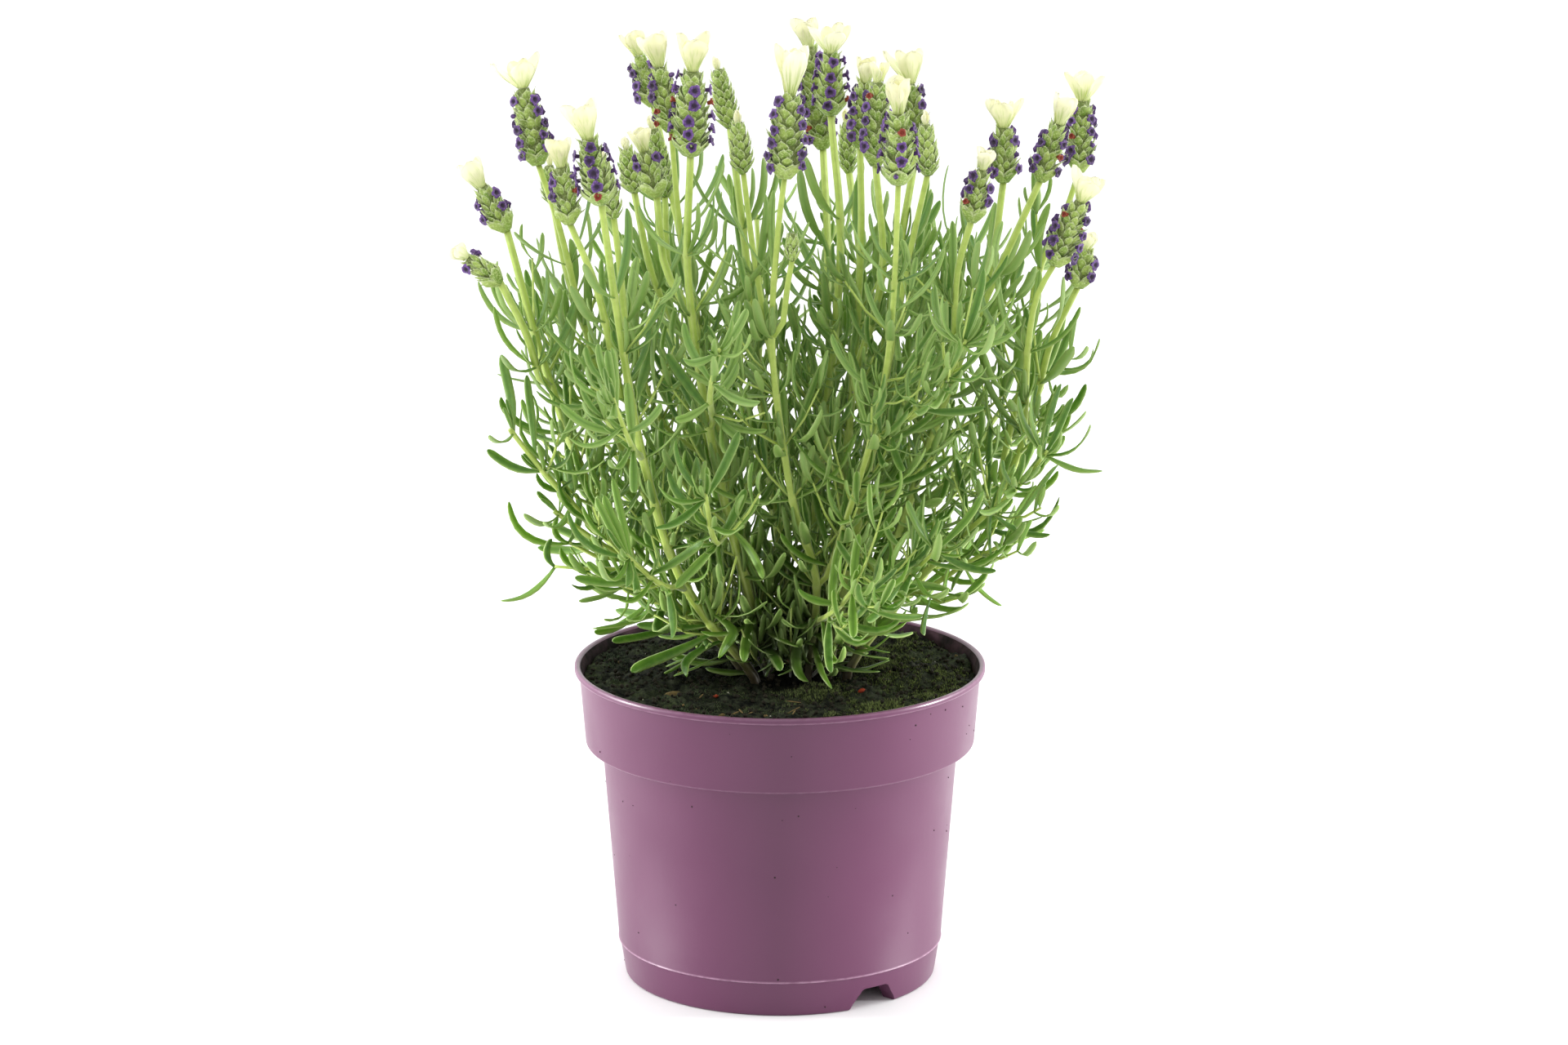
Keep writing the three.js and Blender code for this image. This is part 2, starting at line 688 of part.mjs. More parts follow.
// The wall's inside follows its outside, one wall thickness in
const INNER_LIP = COLLAR_TOP_RADIUS - WALL;
const INNER_COLLAR = COLLAR_LOW_RADIUS - WALL;
const INNER_WALL_TOP = WALL_TOP_RADIUS - WALL;
const INNER_WALL_LOW = WALL_LOW_RADIUS - LEDGE - WALL;
const STEP_Z = COLLAR_LOW_Z + WALL;
const FLOOR_TOP = FLOOR_Z + FLOOR;

function notchCut(angle) {
  const at = (degrees, radius, z) => vec(
    radius * Math.sin(radians(degrees)), -radius * Math.cos(radians(degrees)), z,
  );
  const section = (radius) => [
    at(angle - NOTCH_HALF_LOW, radius, -1),
    at(angle + NOTCH_HALF_LOW, radius, -1),
    at(angle + NOTCH_HALF_TOP, radius, NOTCH_HEIGHT),
    at(angle - NOTCH_HALF_TOP, radius, NOTCH_HEIGHT),
  ];
  return solid(loft([section(NOTCH_BACK_RADIUS), section(NOTCH_CUT_RADIUS)]));
}

function drainCut(angle) {
  const hole = new THREE.CylinderGeometry(DRAIN_RADIUS, DRAIN_RADIUS, FLOOR + 2, 8);
  hole.rotateX(Math.PI / 2);
  hole.translate(DRAIN_CIRCLE * Math.cos(angle), DRAIN_CIRCLE * Math.sin(angle), FLOOR_Z + FLOOR / 2);
  return solid(hole);
}

function makePot() {
  const shell = solid(lathe([
    [0, FLOOR_Z],
    [FOOT_RADIUS - FOOT_RING, FLOOR_Z],
    [FOOT_RADIUS - FOOT_RING, 0],
    [FOOT_RADIUS - FOOT_ROUND, 0],
    [FOOT_RADIUS, FOOT_ROUND],
    [WALL_LOW_RADIUS - LEDGE, LEDGE_Z - LEDGE],
    [WALL_LOW_RADIUS, LEDGE_Z],
    [WALL_TOP_RADIUS, COLLAR_LOW_Z],
    [COLLAR_LOW_RADIUS, COLLAR_LOW_Z],
    [COLLAR_TOP_RADIUS, POT_HEIGHT - LIP_HEIGHT],
    [LIP_RADIUS, POT_HEIGHT - LIP_HEIGHT],
    [LIP_RADIUS, POT_HEIGHT - LIP_ROUND],
    [LIP_RADIUS - LIP_ROUND, POT_HEIGHT],
    [LIP_INNER_RADIUS, POT_HEIGHT],
    [INNER_LIP, POT_HEIGHT - LIP_HEIGHT],
    [INNER_COLLAR, STEP_Z],
    [INNER_WALL_TOP, STEP_Z],
    [INNER_WALL_LOW, FLOOR_TOP],
    [0, FLOOR_TOP],
  ]));
  let pot = shell.subtract(notchCut(NOTCH_ANGLE)).subtract(notchCut(NOTCH_ANGLE + 180));
  for (let i = 0; i < DRAIN_COUNT; i += 1) {
    pot = pot.subtract(drainCut((2 * Math.PI * (i + 0.5)) / DRAIN_COUNT));
  }
  return pot;
}

// The compost's top rises and falls in gentle clods
function soilHeight(x, y) {
  const wide = Math.sin(x * CLOD_WIDE + 1) * Math.cos(y * CLOD_WIDE);
  const fine = Math.sin((x / 3 - y) * CLOD_FINE + 2);
  return SOIL_Z + SOIL_BUMP * (wide + fine / 2);
}

function makeSoil(holes) {
  const block = lathe([
    [0, FLOOR_TOP + GAP],
    [INNER_WALL_LOW - GAP, FLOOR_TOP + GAP],
    [INNER_WALL_TOP - GAP, STEP_Z + GAP],
    [INNER_COLLAR - GAP, STEP_Z + GAP],
    ...SOIL_RINGS.map((radius) => [radius, SOIL_Z]),
    [0, SOIL_Z],
  ]);
  const position = block.attributes.position;
  for (let i = 0; i < position.count; i += 1) {
    if (position.getZ(i) > SOIL_Z - 1) {
      position.setZ(i, soilHeight(position.getX(i), position.getY(i)));
    }
  }
  return wasm.Manifold.difference([solid(block), ...holes]);
}

const lavender = new THREE.Group();
lavender.name = 'potted_spanish_lavender';
lavender.add(mesh('pot', makePot(), PURPLE_PLASTIC));

// A stalk's line with its joints and, where it ends in a head or a bud, the seat square to that
function layStalk(points, end, low, foot) {
  const line = curveThrough(points);
  const stalk = {
    line,
    low,
    high: end ? STEM_HIGH : SHOOT_HIGH,
    bare: end ? BARE_PEDUNCLE : JOINT_HEIGHT,
    foot,
    size: end ? 1 : SHOOT_LEAF_SIZE,
    branches: [],
    end,
  };
  stalk.joints = jointsOn(stalk);
  if (end) {
    stalk.top = vec(...end.top);
    stalk.seat = placeOn(lineOf([points[points.length - 1], stalk.top]), 0);
  }
  return stalk;
}

// A branch leaves from the free face of the nearest joint that looks its way, with a short knee
function layBranch(main, { from, via, end }) {
  const apart = main.joints.map((joint) => Math.abs(joint - from * main.line.length));
  const joint = apart.indexOf(Math.min(...apart));
  const place = placeOn(main.line, main.joints[joint]);
  const way = vec(...via[0]).sub(place.point);
  let face = -1;
  let best = -Infinity;
  for (let i = 0; i < STEM_SIDES; i += 1) {
    const taken = main.branches.some((one) => one.joint === joint && one.face === i);
    const looks = way.dot(outward(place, faceAzimuth(main.turn, i)));
    if (!taken && looks > best) {
      best = looks;
      face = i;
    }
  }
  const knee = place.point.clone().addScaledVector(place.along, BRANCH_RISE)
    .addScaledVector(outward(place, faceAzimuth(main.turn, face)), BRANCH_OFFSET);
  const points = [place.point, knee, ...via.map((point) => vec(...point))];
  const branch = layStalk(points, end, end ? BRANCH_LOW : SHOOT_LOW, BRANCH_FOOT);
  branch.neck = branch.line.reach[CURVE_STEPS];
  branch.joint = joint;
  branch.face = face;
  return branch;
}

// First every stalk and head takes its place, so that leaves can keep clear of all of them
const stems = PLANT.map((plant, index) => {
  const main = layStalk(plant.stem.map((point) => vec(...point)), plant.end, STEM_LOW, BARE_FOOT);
  main.turn = index;
  for (const row of plant.stalks) main.branches.push(layBranch(main, row));
  const stalks = [main, ...main.branches];
  for (const { line, low, end, seat, top } of stalks) {
    ballsOn(line.points, low, line);
    if (end) {
      ballsOn([seat.point, top], end.radius + 1);
      if (end.bracts) {
        const tip = top.clone().addScaledVector(seat.along, end.length);
        ballsOn([top, tip], BRACT_WIDEST / 2);
      }
    }
  }
  return { index, stalks };
});

const holes = [];
for (const { index, stalks } of stems) {
  const [main] = stalks;
  const skin = new Skin();
  growStalk(skin, null, main, drawer(LEAF_SEED + SEED_STEP * index));
  const parts = [skin.geometry()];
  for (const { end, seat, top } of stalks) {
    if (end && !end.head) {
      parts.push(spike(lineOf([seat.point.clone().lerp(top, -HEAD_SINK), top]), end.radius, 0));
    }
  }
  const number = String(index + 1).padStart(2, '0');
  lavender.add(mesh(`stem_${number}`, fuse(parts), LEAF_GREEN));

  const wide = STEM_LOW + HOLE_CLEAR;
  const foot = placeOn(main.line, 0);
  const out = placeOn(main.line, HOLE_REACH);
  const sunk = foot.point.clone().addScaledVector(foot.along, -GAP);
  holes.push(solid(loft([
    ringAt({ ...foot, point: sunk }, wide, HOLE_SIDES),
    ringAt(out, wide, HOLE_SIDES),
  ])));
}
lavender.add(mesh('soil', makeSoil(holes), COMPOST));

for (const { index, stalks } of stems) {
  const draw = drawer(BRACT_SEED + SEED_STEP * index);
  for (const { end, seat, top } of stalks) {
    if (!end || !end.head) continue;
    const axis = lineOf([seat.point.clone().addScaledVector(seat.along, GAP), top]);
    const head = solid(spike(axis, end.radius, end.florets ?? OPEN_FLORETS));
    lavender.add(mesh(`head_${end.head}`, head, HEAD_PURPLE));
    const crown = placeOn(axis, axis.length);
    crown.point.addScaledVector(crown.along, GAP);
    lavender.add(mesh(`bracts_${end.head}`, tuft(crown, end, draw), BRACT_CREAM));
  }
}

export default lavender;
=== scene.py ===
# Spanish lavender in a purple plastic grower's pot, dressed round its solids.
# Lengths are millimetres until a mesh is made. +Z is up, -Y is the front and +X is the viewer's right.
import math
from collections import namedtuple

import bpy
import numpy as np
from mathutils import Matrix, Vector, noise


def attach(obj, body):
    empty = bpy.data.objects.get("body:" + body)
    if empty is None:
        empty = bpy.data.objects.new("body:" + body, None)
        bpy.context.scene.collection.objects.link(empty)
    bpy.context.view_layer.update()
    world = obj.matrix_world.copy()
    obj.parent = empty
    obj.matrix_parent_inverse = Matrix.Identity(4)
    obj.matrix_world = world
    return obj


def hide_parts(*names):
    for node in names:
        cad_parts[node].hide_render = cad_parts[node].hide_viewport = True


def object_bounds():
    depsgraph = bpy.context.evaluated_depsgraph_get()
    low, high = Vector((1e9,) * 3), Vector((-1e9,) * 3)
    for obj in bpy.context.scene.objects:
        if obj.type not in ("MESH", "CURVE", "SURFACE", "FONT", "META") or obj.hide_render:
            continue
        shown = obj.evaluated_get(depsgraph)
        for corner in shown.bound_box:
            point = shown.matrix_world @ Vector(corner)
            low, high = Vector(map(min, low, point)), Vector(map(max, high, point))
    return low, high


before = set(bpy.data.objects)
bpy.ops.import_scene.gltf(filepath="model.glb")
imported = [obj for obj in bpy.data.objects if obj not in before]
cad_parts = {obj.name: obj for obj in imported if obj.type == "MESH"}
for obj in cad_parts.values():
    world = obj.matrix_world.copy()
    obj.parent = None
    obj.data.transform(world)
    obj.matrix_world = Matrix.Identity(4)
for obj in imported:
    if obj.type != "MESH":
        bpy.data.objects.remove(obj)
cad_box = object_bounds()
MM = 0.001
TURN = 2 * math.pi

# Camera: a long lens, a little above the plant
CAMERA_LENS = 155.6
CAMERA_SENSOR = 36
CAMERA_DISTANCE = 2800
CAMERA_ELEVATION = math.radians(14.5)
CAMERA_TARGET = (1.7, 0, 193)

# Pot
POT_HEIGHT = 133
LIP_RADIUS = 85.3
LIP_HEIGHT = 3
LIP_INNER_RADIUS = 83.3
COLLAR_TOP_RADIUS = 83.3
COLLAR_TOP_Z = POT_HEIGHT - LIP_HEIGHT
COLLAR_LOW_RADIUS = 80.8
COLLAR_LOW_Z = 100
WALL_TOP_RADIUS = 74
WALL_LOW_RADIUS = 67.4
WALL = 1.5
LEDGE_Z = 15
LEDGE = 0.5
FOOT_RADIUS = 65
FOOT_RING = 7
FLOOR_Z = 8.5
FLOOR_TOP_Z = FLOOR_Z + 1.5
POT_SIDES = 256

# Compost
GAP = 0.3
SOIL_Z = 128

# Stalks, as half the diagonal of their square section
STEM_SIDES = 4
STEM_LOW = 2.3
STEM_HIGH = 1.5
BRANCH_LOW = 1.8
SHOOT_LOW = 1.6
SHOOT_HIGH = 1
CURVE_STEPS = 8
BARE_PEDUNCLE = 44
BARE_FOOT = 27
BRANCH_FOOT = 12
BRANCH_RISE = 4.5
BRANCH_OFFSET = 4.2
JOINT_HEIGHT = 2.4
JOINT_GAPS = (18, 28)
LOW_LEAVES_Z = 140
HIGH_LEAVES_Z = 340

# Leaves: openings and bends go from the plant's foot to its top, and lengths from short to long
LEAF_LENGTHS = (25, 42)
LEAF_NARROWEST = 3
LEAF_WIDENING = 0.04
SHOOT_LEAF_SIZE = 0.8
OPENINGS = (74, 44)
OPEN_SPREAD = 8
BENDS = (0.1, 0.5)
BEND_SPREAD = 0.25
LEAF_SEED = 4207
SEED_STEP = 77
LEAF_NUDGES = (0, 0.3, -0.3, 0.6, -0.6)
LEAF_LIFTS = (0, -0.25, 0.2)
LEAF_PROBES = np.array([0.16, 0.3, 0.45, 0.6, 0.75, 0.9, 1])
LOWEST_LEAF_Z = 133
CLEARANCE = 0.5
BALL_STEP = 2.5
BALL_ROOM = 90000
BALL_REACH = 8

# Flower heads
HEAD_WIDEST = 0.25
HEAD_FOOT = 0.5
HEAD_TAPER = 0.5
BUD_SINK = 0.05
BRACT_WIDEST = 9.6
BRACT_NARROWEST = 3
BRACT_WIDENING = 0.42
BRACT_SHORTEST = 0.86
BRACT_SPREAD = 4
BRACT_SEED = 9001


def head(number, top, radius, bracts=0, length=0, spread=0):
    """A flower head: its top and radius, and how many bracts it has, how long and how far open."""
    return dict(number=number, top=top, radius=radius, bracts=bracts, length=length, spread=spread)


def bud(top, radius):
    return head(None, top, radius)


def stalk(at, via, end=None):
    return dict(at=at, via=via, end=end)


def stem(points, end, *stalks):
    return dict(points=points, end=end, stalks=stalks)


# The plant: the points that each stem passes, what ends it, and the stalks that leave it at a
# share of its length
PLANT = (
    stem([(-13, 2, 116), (-20, 2, 136), (-64, 2, 176), (-82, 4, 215), (-98, 6, 262), (-112, 8, 315)],
         head("02", (-122, 9, 332), 4.9, 3, 14, 14),
         stalk(0.73, [(-104, -6, 275), (-114, -15, 298)], head("01", (-127, -16, 308), 4, 2, 8, 10)),
         stalk(0.28, [(-75, -6, 186), (-93, -8, 200)]), stalk(0.45, [(-98, -22, 222), (-110, -30, 240)])),
    stem([(-8, 13, 116), (-14, 14, 138), (-60, 20, 207), (-80, 28, 266), (-91, 35, 309), (-100, 40, 336)],
         head("03", (-106, 43, 367), 6.2, 3, 17, 38),
         stalk(0.68, [(-90, 50, 292), (-95, 60, 316)], bud((-96, 61, 331), 4)),
         stalk(0.3, [(-54, 44, 190), (-76, 66, 214)]), stalk(0.5, [(-84, 50, 238), (-98, 62, 262)])),
    stem([(-8, -10, 116), (-12, -11, 132), (-40, -20, 173), (-56, -36, 231), (-65, -52, 291),
          (-71, -68, 342)], head("05", (-76, -70, 368), 5.9, 3, 17, 18),
         stalk(0.6, [(-73, -43, 299), (-85, -30, 326)], head("04", (-88, -31, 349), 4.9, 3, 13, 12)),
         stalk(0.7, [(-64, -42, 306), (-67, -35, 330)], bud((-71, -34, 351), 4.2)),
         stalk(0.27, [(-48, -44, 178), (-62, -72, 198)]), stalk(0.5, [(-60, -76, 246), (-66, -103, 270)])),
    stem([(-3, -4, 116), (-6, -5, 136), (-26, -13, 220), (-37, -20, 297), (-36, -30, 354)],
         head("09", (-35, -31, 388), 6.7, 3, 17, 20),
         stalk(0.68, [(-47, -10, 304), (-50, -10, 333)], head("11", (-55, -10, 351), 5.2, 3, 11, 12)),
         stalk(0.3, [(-26, -44, 196), (-30, -76, 224)]), stalk(0.52, [(-28, -62, 262), (-24, -94, 288)])),
    stem([(-1, 5, 116), (-3, 7, 136), (-24, 20, 215), (-40, 36, 300), (-45, 45, 349)],
         head("08", (-50, 47, 375), 5, 3, 15, 16),
         stalk(0.6, [(-52, 23, 290), (-60, 20, 329)], bud((-63, 20, 346), 4.6)),
         stalk(0.42, [(-48, 18, 230), (-58, 14, 256)])),
    stem([(-2, 16, 116), (-5, 20, 138), (-24, 48, 215), (-42, 74, 300), (-53, 90, 351)],
         head("07", (-59, 93, 371), 5, 3, 12, 14),
         stalk(0.58, [(-46, 58, 284), (-48, 62, 319)], bud((-53, 63, 346), 4.7)),
         stalk(0.28, [(-26, 62, 174), (-42, 90, 196)]), stalk(0.5, [(-48, 88, 256), (-60, 106, 284)])),
    stem([(6, 14, 116), (5, 18, 138), (-6, 42, 220), (-15, 60, 300), (-21, 72, 346)],
         bud((-26, 75, 369), 4.9), stalk(0.28, [(4, 60, 176), (6, 92, 204)]),
         stalk(0.52, [(-8, 84, 264), (-10, 108, 300)])),
    stem([(10, -9, 116), (12, -9, 134), (15, -15, 173), (5, -24, 210), (-3, -33, 272), (-1, -41, 321),
          (2, -45, 348)], head("15", (4, -46, 381), 7.1, 3, 22, 12),
         stalk(0.25, [(28, -31, 205), (39, -46, 248), (45, -62, 293), (47, -78, 352)],
               head("20", (47, -79, 380), 5.7, 3, 15, 10)),
         stalk(0.62, [(-10, -18, 306), (-15, -8, 343)], bud((-17, -8, 362), 4.6)),
         stalk(0.72, [(3, -43, 302), (5, -46, 314)], bud((5, -46, 325), 2.8)),
         stalk(0.12, [(22, -42, 166), (30, -72, 184)])),
    stem([(8, 5, 116), (9, 8, 136), (17, 18, 215), (25, 26, 300), (21, 40, 357)],
         head("17", (21, 41, 382), 5.2, 3, 14, 34),
         stalk(0.58, [(20, 52, 296), (18, 74, 336)], head("16", (12, 76, 378), 5.7, 3, 13, 14)),
         stalk(0.42, [(22, 46, 236), (26, 66, 262)])),
    stem([(15, 0, 116), (16, 2, 136), (27, 8, 215), (33, 14, 300), (33, 22, 347)],
         head("18", (35, 23, 373), 5, 3, 11, 12),
         stalk(0.6, [(42, 3, 298), (39, -1, 344)], head("19", (40, -2, 378), 5.2, 2, 9, 10)),
         stalk(0.42, [(50, 14, 238), (60, 18, 266)])),
    stem([(19, -8, 116), (21, -9, 136), (36, -14, 215), (51, -15, 300), (60, -18, 344)],
         bud((59, -19, 364), 4.4), stalk(0.27, [(46, -42, 178), (64, -68, 200)]),
         stalk(0.5, [(62, -52, 258), (74, -78, 288)])),
    stem([(14, 14, 116), (17, 18, 138), (36, 34, 215), (50, 46, 300), (57, 55, 340)],
         head("21", (54, 57, 366), 5, 3, 17, 24),
         stalk(0.52, [(34, 76, 284), (29, 96, 322)], bud((28, 98, 342), 4)),
         stalk(0.27, [(42, 60, 178), (60, 84, 202)]), stalk(0.5, [(66, 76, 256), (78, 92, 286)])),
    stem([(23, 3, 116), (25, 2, 134), (48, -1, 187), (62, -3, 229), (78, -5, 274), (106, -8, 339)],
         head("26", (113, -8, 362), 4.7, 3, 13, 16),
         stalk(0.58, [(71, -22, 282), (72, -35, 308), (77, -45, 330)], head("24", (81, -46, 351),
               4.6, 3, 9, 10)),
         stalk(0.55, [(82, 14, 280), (88, 20, 303), (92, 24, 332)], head("25", (92, 25, 354),
               5.4, 3, 14, 28)), stalk(0.33, [(72, 28, 206), (94, 46, 232)])),
    stem([(27, -5, 116), (30, -5, 134), (58, -3, 170), (90, -3, 205), (104, -4, 242), (111, -5, 270),
          (122, -5, 294)], head("29", (125, -5, 309), 4.6, 2, 8, 12),
         stalk(0.62, [(101, -22, 272), (104, -30, 295), (111, -35, 310)], head("28", (121, -37, 336),
               5.7, 3, 14, 26)),
         stalk(0.52, [(102, 20, 258), (106, 32, 288), (118, 42, 314), (124, 45, 332)],
               head("27", (125, 46, 361), 5.2, 3, 14, 30)), stalk(0.28, [(78, -14, 180), (94, -20, 190)]),
         stalk(0.4, [(96, -34, 216), (108, -52, 236)])),
)


DRAW_FACTOR = 16807
DRAW_LAST = 2147483647


def drawer(seed):
    """Draws between two numbers from a seeded row."""
    state = seed

    def draw(low, high):
        nonlocal state
        state = state * DRAW_FACTOR % DRAW_LAST
        return low + (high - low) * (state / DRAW_LAST)
    return draw


def mix(a, b, t):
    return a + (b - a) * t


def smooth(t):
    t = np.clip(t, 0, 1)
    return t * t * (3 - 2 * t)


def unit(vector):
    return vector / np.linalg.norm(vector)


def units(rows):
    return rows / np.linalg.norm(rows, axis=-1, keepdims=True)


def angles(sides):
    return np.arange(sides) * TURN / sides


def circle(sides, radius, z, x=0, y=0):
    """Level rings of points, one for each radius and height."""
    angle = angles(sides)
    return np.stack(np.broadcast_arrays(x + radius * np.cos(angle), y + radius * np.sin(angle),
                                        z + np.zeros(sides)), -1)


UP = np.array([0.0, 0, 1])


class Place(namedtuple("Place", "point along side other")):
    """A point on a line, the line's direction there and two directions across it."""

    def out(self, angle):
        return self.side * math.cos(angle) + self.other * math.sin(angle)

    def ring(self, angle, radius, rise=0):
        """Points round the line, each by its own angle, radius and rise along the line."""
        angle, radius, rise = (part[..., None] for part in np.broadcast_arrays(angle, radius, rise))
        return (self.point + rise * self.along + radius * np.cos(angle) * self.side
                + radius * np.sin(angle) * self.other)


def place_at(point, along):
    side = unit(np.array([1.0, 0, 0]) - along * along[0])
    return Place(point, along, side, np.cross(along, side))


class Line:
    """A line through many points, measured along its length."""

    def __init__(self, points):
        self.points = np.array(points, float)
        gaps = np.linalg.norm(np.diff(self.points, axis=0), axis=1)
        self.reach = np.concatenate(([0], np.cumsum(gaps)))
        self.length = float(self.reach[-1])

    def place(self, distance):
        i = int(np.clip(np.searchsorted(self.reach, distance), 1, len(self.points) - 1))
        low, high = self.points[i - 1], self.points[i]
        share = (distance - self.reach[i - 1]) / (self.reach[i] - self.reach[i - 1])
        return place_at(low + (high - low) * share, unit(high - low))

    def smooth_place(self, distance, window=3):
        """As place, with the direction taken over a short stretch, so that it turns evenly."""
        before = self.place(max(0, distance - window)).point
        after = self.place(min(self.length, distance + window)).point
        return place_at(self.place(distance).point, unit(after - before))


def curve_through(points):
    """A smooth line through given points, as short straight steps."""
    points = [np.array(p, float) for p in points]
    row = [2 * points[0] - points[1], *points, 2 * points[-1] - points[-2]]
    made = [points[0]]
    for k in range(len(points) - 1):
        before, low, high, after = row[k:k + 4]
        start, stop = (high - before) / 2, (after - low) / 2
        for step in range(1, CURVE_STEPS + 1):
            t = step / CURVE_STEPS
            made.append(low + start * t + (3 * (high - low) - 2 * start - stop) * t * t
                        + (2 * (low - high) + start + stop) * t ** 3)
    return Line(made)


class Balls:
    """Clearance between the grown pieces: each is kept as a chain of balls along its middle."""

    def __init__(self):
        self.at = np.zeros((BALL_ROOM, 3))
        self.radius = np.zeros(BALL_ROOM)
        self.line = np.zeros(BALL_ROOM, int)
        self.count = 0

    def add(self, points, radius, line=0):
        for low, high in zip(points, points[1:]):
            steps = max(1, math.ceil(np.linalg.norm(high - low) / BALL_STEP))
            for k in range(steps):
                self.at[self.count] = low + (high - low) * (k / steps)
                self.radius[self.count] = radius
                self.line[self.count] = line
                self.count += 1

    def clear(self, points, radius, line, clearance=CLEARANCE):
        near = (self.at[:self.count] > points.min(0) - BALL_REACH).all(1)
        near &= (self.at[:self.count] < points.max(0) + BALL_REACH).all(1)
        near &= self.line[:self.count] != line
        at = self.at[:self.count][near]
        reach = self.radius[:self.count][near] + radius + clearance
        gaps = np.linalg.norm(at[:, None] - points[None], axis=2)
        return not (gaps < reach[:, None]).any()


balls = Balls()
Leaf = namedtuple("Leaf", "root middle tip across width length")


def leaf_line(place, azimuth, opening, length, bend, width=0):
    """A leaf's middle line: it leaves the stalk at an angle and bends towards the sky or the ground."""
    start = place.along * math.cos(opening) + place.out(azimuth) * math.sin(opening)
    end = unit(start + UP * bend)
    middle = place.point + start * (length / 2)
    across = unit(np.cross(place.along, start))
    return Leaf(place.point, middle, middle + end * (length / 2), across, width, length)


def leaf_points(leaf, shares):
    t = shares[:, None]
    return (1 - t) ** 2 * leaf.root + 2 * t * (1 - t) * leaf.middle + t * t * leaf.tip


def leaf_width(length):
    return LEAF_NARROWEST + length * LEAF_WIDENING


def rise(point):
    """How high on the plant a point is, from 0 at the lowest leaves to 1 at the highest."""
    return min(1, max(0, (point[2] - LOW_LEAVES_Z) / (HIGH_LEAVES_Z - LOW_LEAVES_Z)))


def free_leaf(place, azimuth, stalk, draw):
    """The leaf on one face of a joint, turned a little aside where something is in its way."""
    height = rise(place.point)
    opening = math.radians(mix(*OPENINGS, height) + draw(-OPEN_SPREAD, OPEN_SPREAD))
    share = draw(0, 1) * math.sin(math.pi * mix(0.25, 0.8, height))
    length = stalk.size * mix(*LEAF_LENGTHS, share)
    bend = mix(*BENDS, height) + draw(-BEND_SPREAD, BEND_SPREAD)
    width = leaf_width(length)
    for nudge in LEAF_NUDGES:
        for lift in LEAF_LIFTS:
            leaf = leaf_line(place, azimuth + nudge, opening + lift, length, bend, width)
            points = leaf_points(leaf, LEAF_PROBES)
            if points[:, 2].min() > LOWEST_LEAF_Z and balls.clear(points, width / 2, stalk.number):
                balls.add(points, width / 2)
                return leaf
    return None


class Stalk:
    """One stem, branch or shoot, with its joints and what ends it."""
    made = 0

    def __init__(self, points, end, low, foot):
        self.number = Stalk.next_number()
        self.line = curve_through(points)
        self.low = low
        self.high = STEM_HIGH if end else SHOOT_HIGH
        self.size = 1 if end else SHOOT_LEAF_SIZE
        self.end = end
        self.branches = []
        self.turn = 0
        self.joints = []
        self.leaves = []
        distance = self.line.length - (BARE_PEDUNCLE if end else JOINT_HEIGHT)
        while distance > foot:
            self.joints.insert(0, distance)
            distance -= mix(*JOINT_GAPS, rise(self.line.place(distance).point))
        if end:
            self.top = np.array(end["top"], float)
            last = np.array(points[-1], float)
            self.seat = place_at(last, unit(self.top - last))

    @classmethod
    def next_number(cls):
        cls.made += 1
        return cls.made

    def radius(self, distance):
        return mix(self.low, self.high, distance / self.line.length)


def face_azimuth(turn, i):
    return turn + TURN * (i + 0.5) / STEM_SIDES


def lay_branch(main, row):
    """A branch leaves from the free face of the nearest joint that looks its way, with a short knee."""
    apart = [abs(joint - row["at"] * main.line.length) for joint in main.joints]
    joint = apart.index(min(apart))
    place = main.line.place(main.joints[joint])
    way = np.array(row["via"][0], float) - place.point
    taken = [one.face for one in main.branches if one.joint == joint]
    free = [i for i in range(STEM_SIDES) if i not in taken]
    face = max(free, key=lambda i: way @ place.out(face_azimuth(main.turn, i)))
    knee = place.point + place.along * BRANCH_RISE + place.out(face_azimuth(main.turn, face)) * BRANCH_OFFSET
    low = BRANCH_LOW if row["end"] else SHOOT_LOW
    branch = Stalk([place.point, knee, *row["via"]], row["end"], low, BRANCH_FOOT)
    branch.joint = joint
    branch.face = face
    return branch


def turn_branch(stalk, branch, joint, i):
    """Turns a branch's corners to those of its stalk."""
    below = joint - JOINT_HEIGHT / 2
    low = stalk.line.place(below)
    corner = low.point + low.out(stalk.turn + TURN * i / STEM_SIDES) * stalk.radius(below)
    corner = corner - branch.line.place(0).point
    neck = branch.line.place(branch.line.reach[CURVE_STEPS])
    branch.turn = math.atan2(corner @ neck.other, corner @ neck.side)


def grow_leaves(stalk, draw):
    """The pairs of leaves on a stalk's joints, each pair a quarter turn from the last, and its branches'."""
    for order, joint in enumerate(stalk.joints):
        place = stalk.line.place(joint)
        for i in range(STEM_SIDES):
            branch = next((one for one in stalk.branches if (one.joint, one.face) == (order, i)), None)
            azimuth = face_azimuth(stalk.turn, i)
            if branch:
                turn_branch(stalk, branch, joint, i)
                grow_leaves(branch, draw)
            elif (i + order) % 2 == 0:
                stalk.leaves.append((joint, azimuth, free_leaf(place, azimuth, stalk, draw)))


def grow_plant():
    stems = []
    for index, plant in enumerate(PLANT):
        main = Stalk(plant["points"], plant["end"], STEM_LOW, BARE_FOOT)
        main.turn = index
        for row in plant["stalks"]:
            main.branches.append(lay_branch(main, row))
        stalks = [main, *main.branches]
        for one in stalks:
            balls.add(one.line.points, one.low, one.number)
            if one.end:
                balls.add([one.seat.point, one.top], one.end["radius"] + 1)
                if one.end["bracts"]:
                    balls.add([one.top, one.top + one.seat.along * one.end["length"]], BRACT_WIDEST / 2)
        stems.append(stalks)
    for index, stalks in enumerate(stems):
        grow_leaves(stalks[0], drawer(LEAF_SEED + SEED_STEP * index))
    return stems


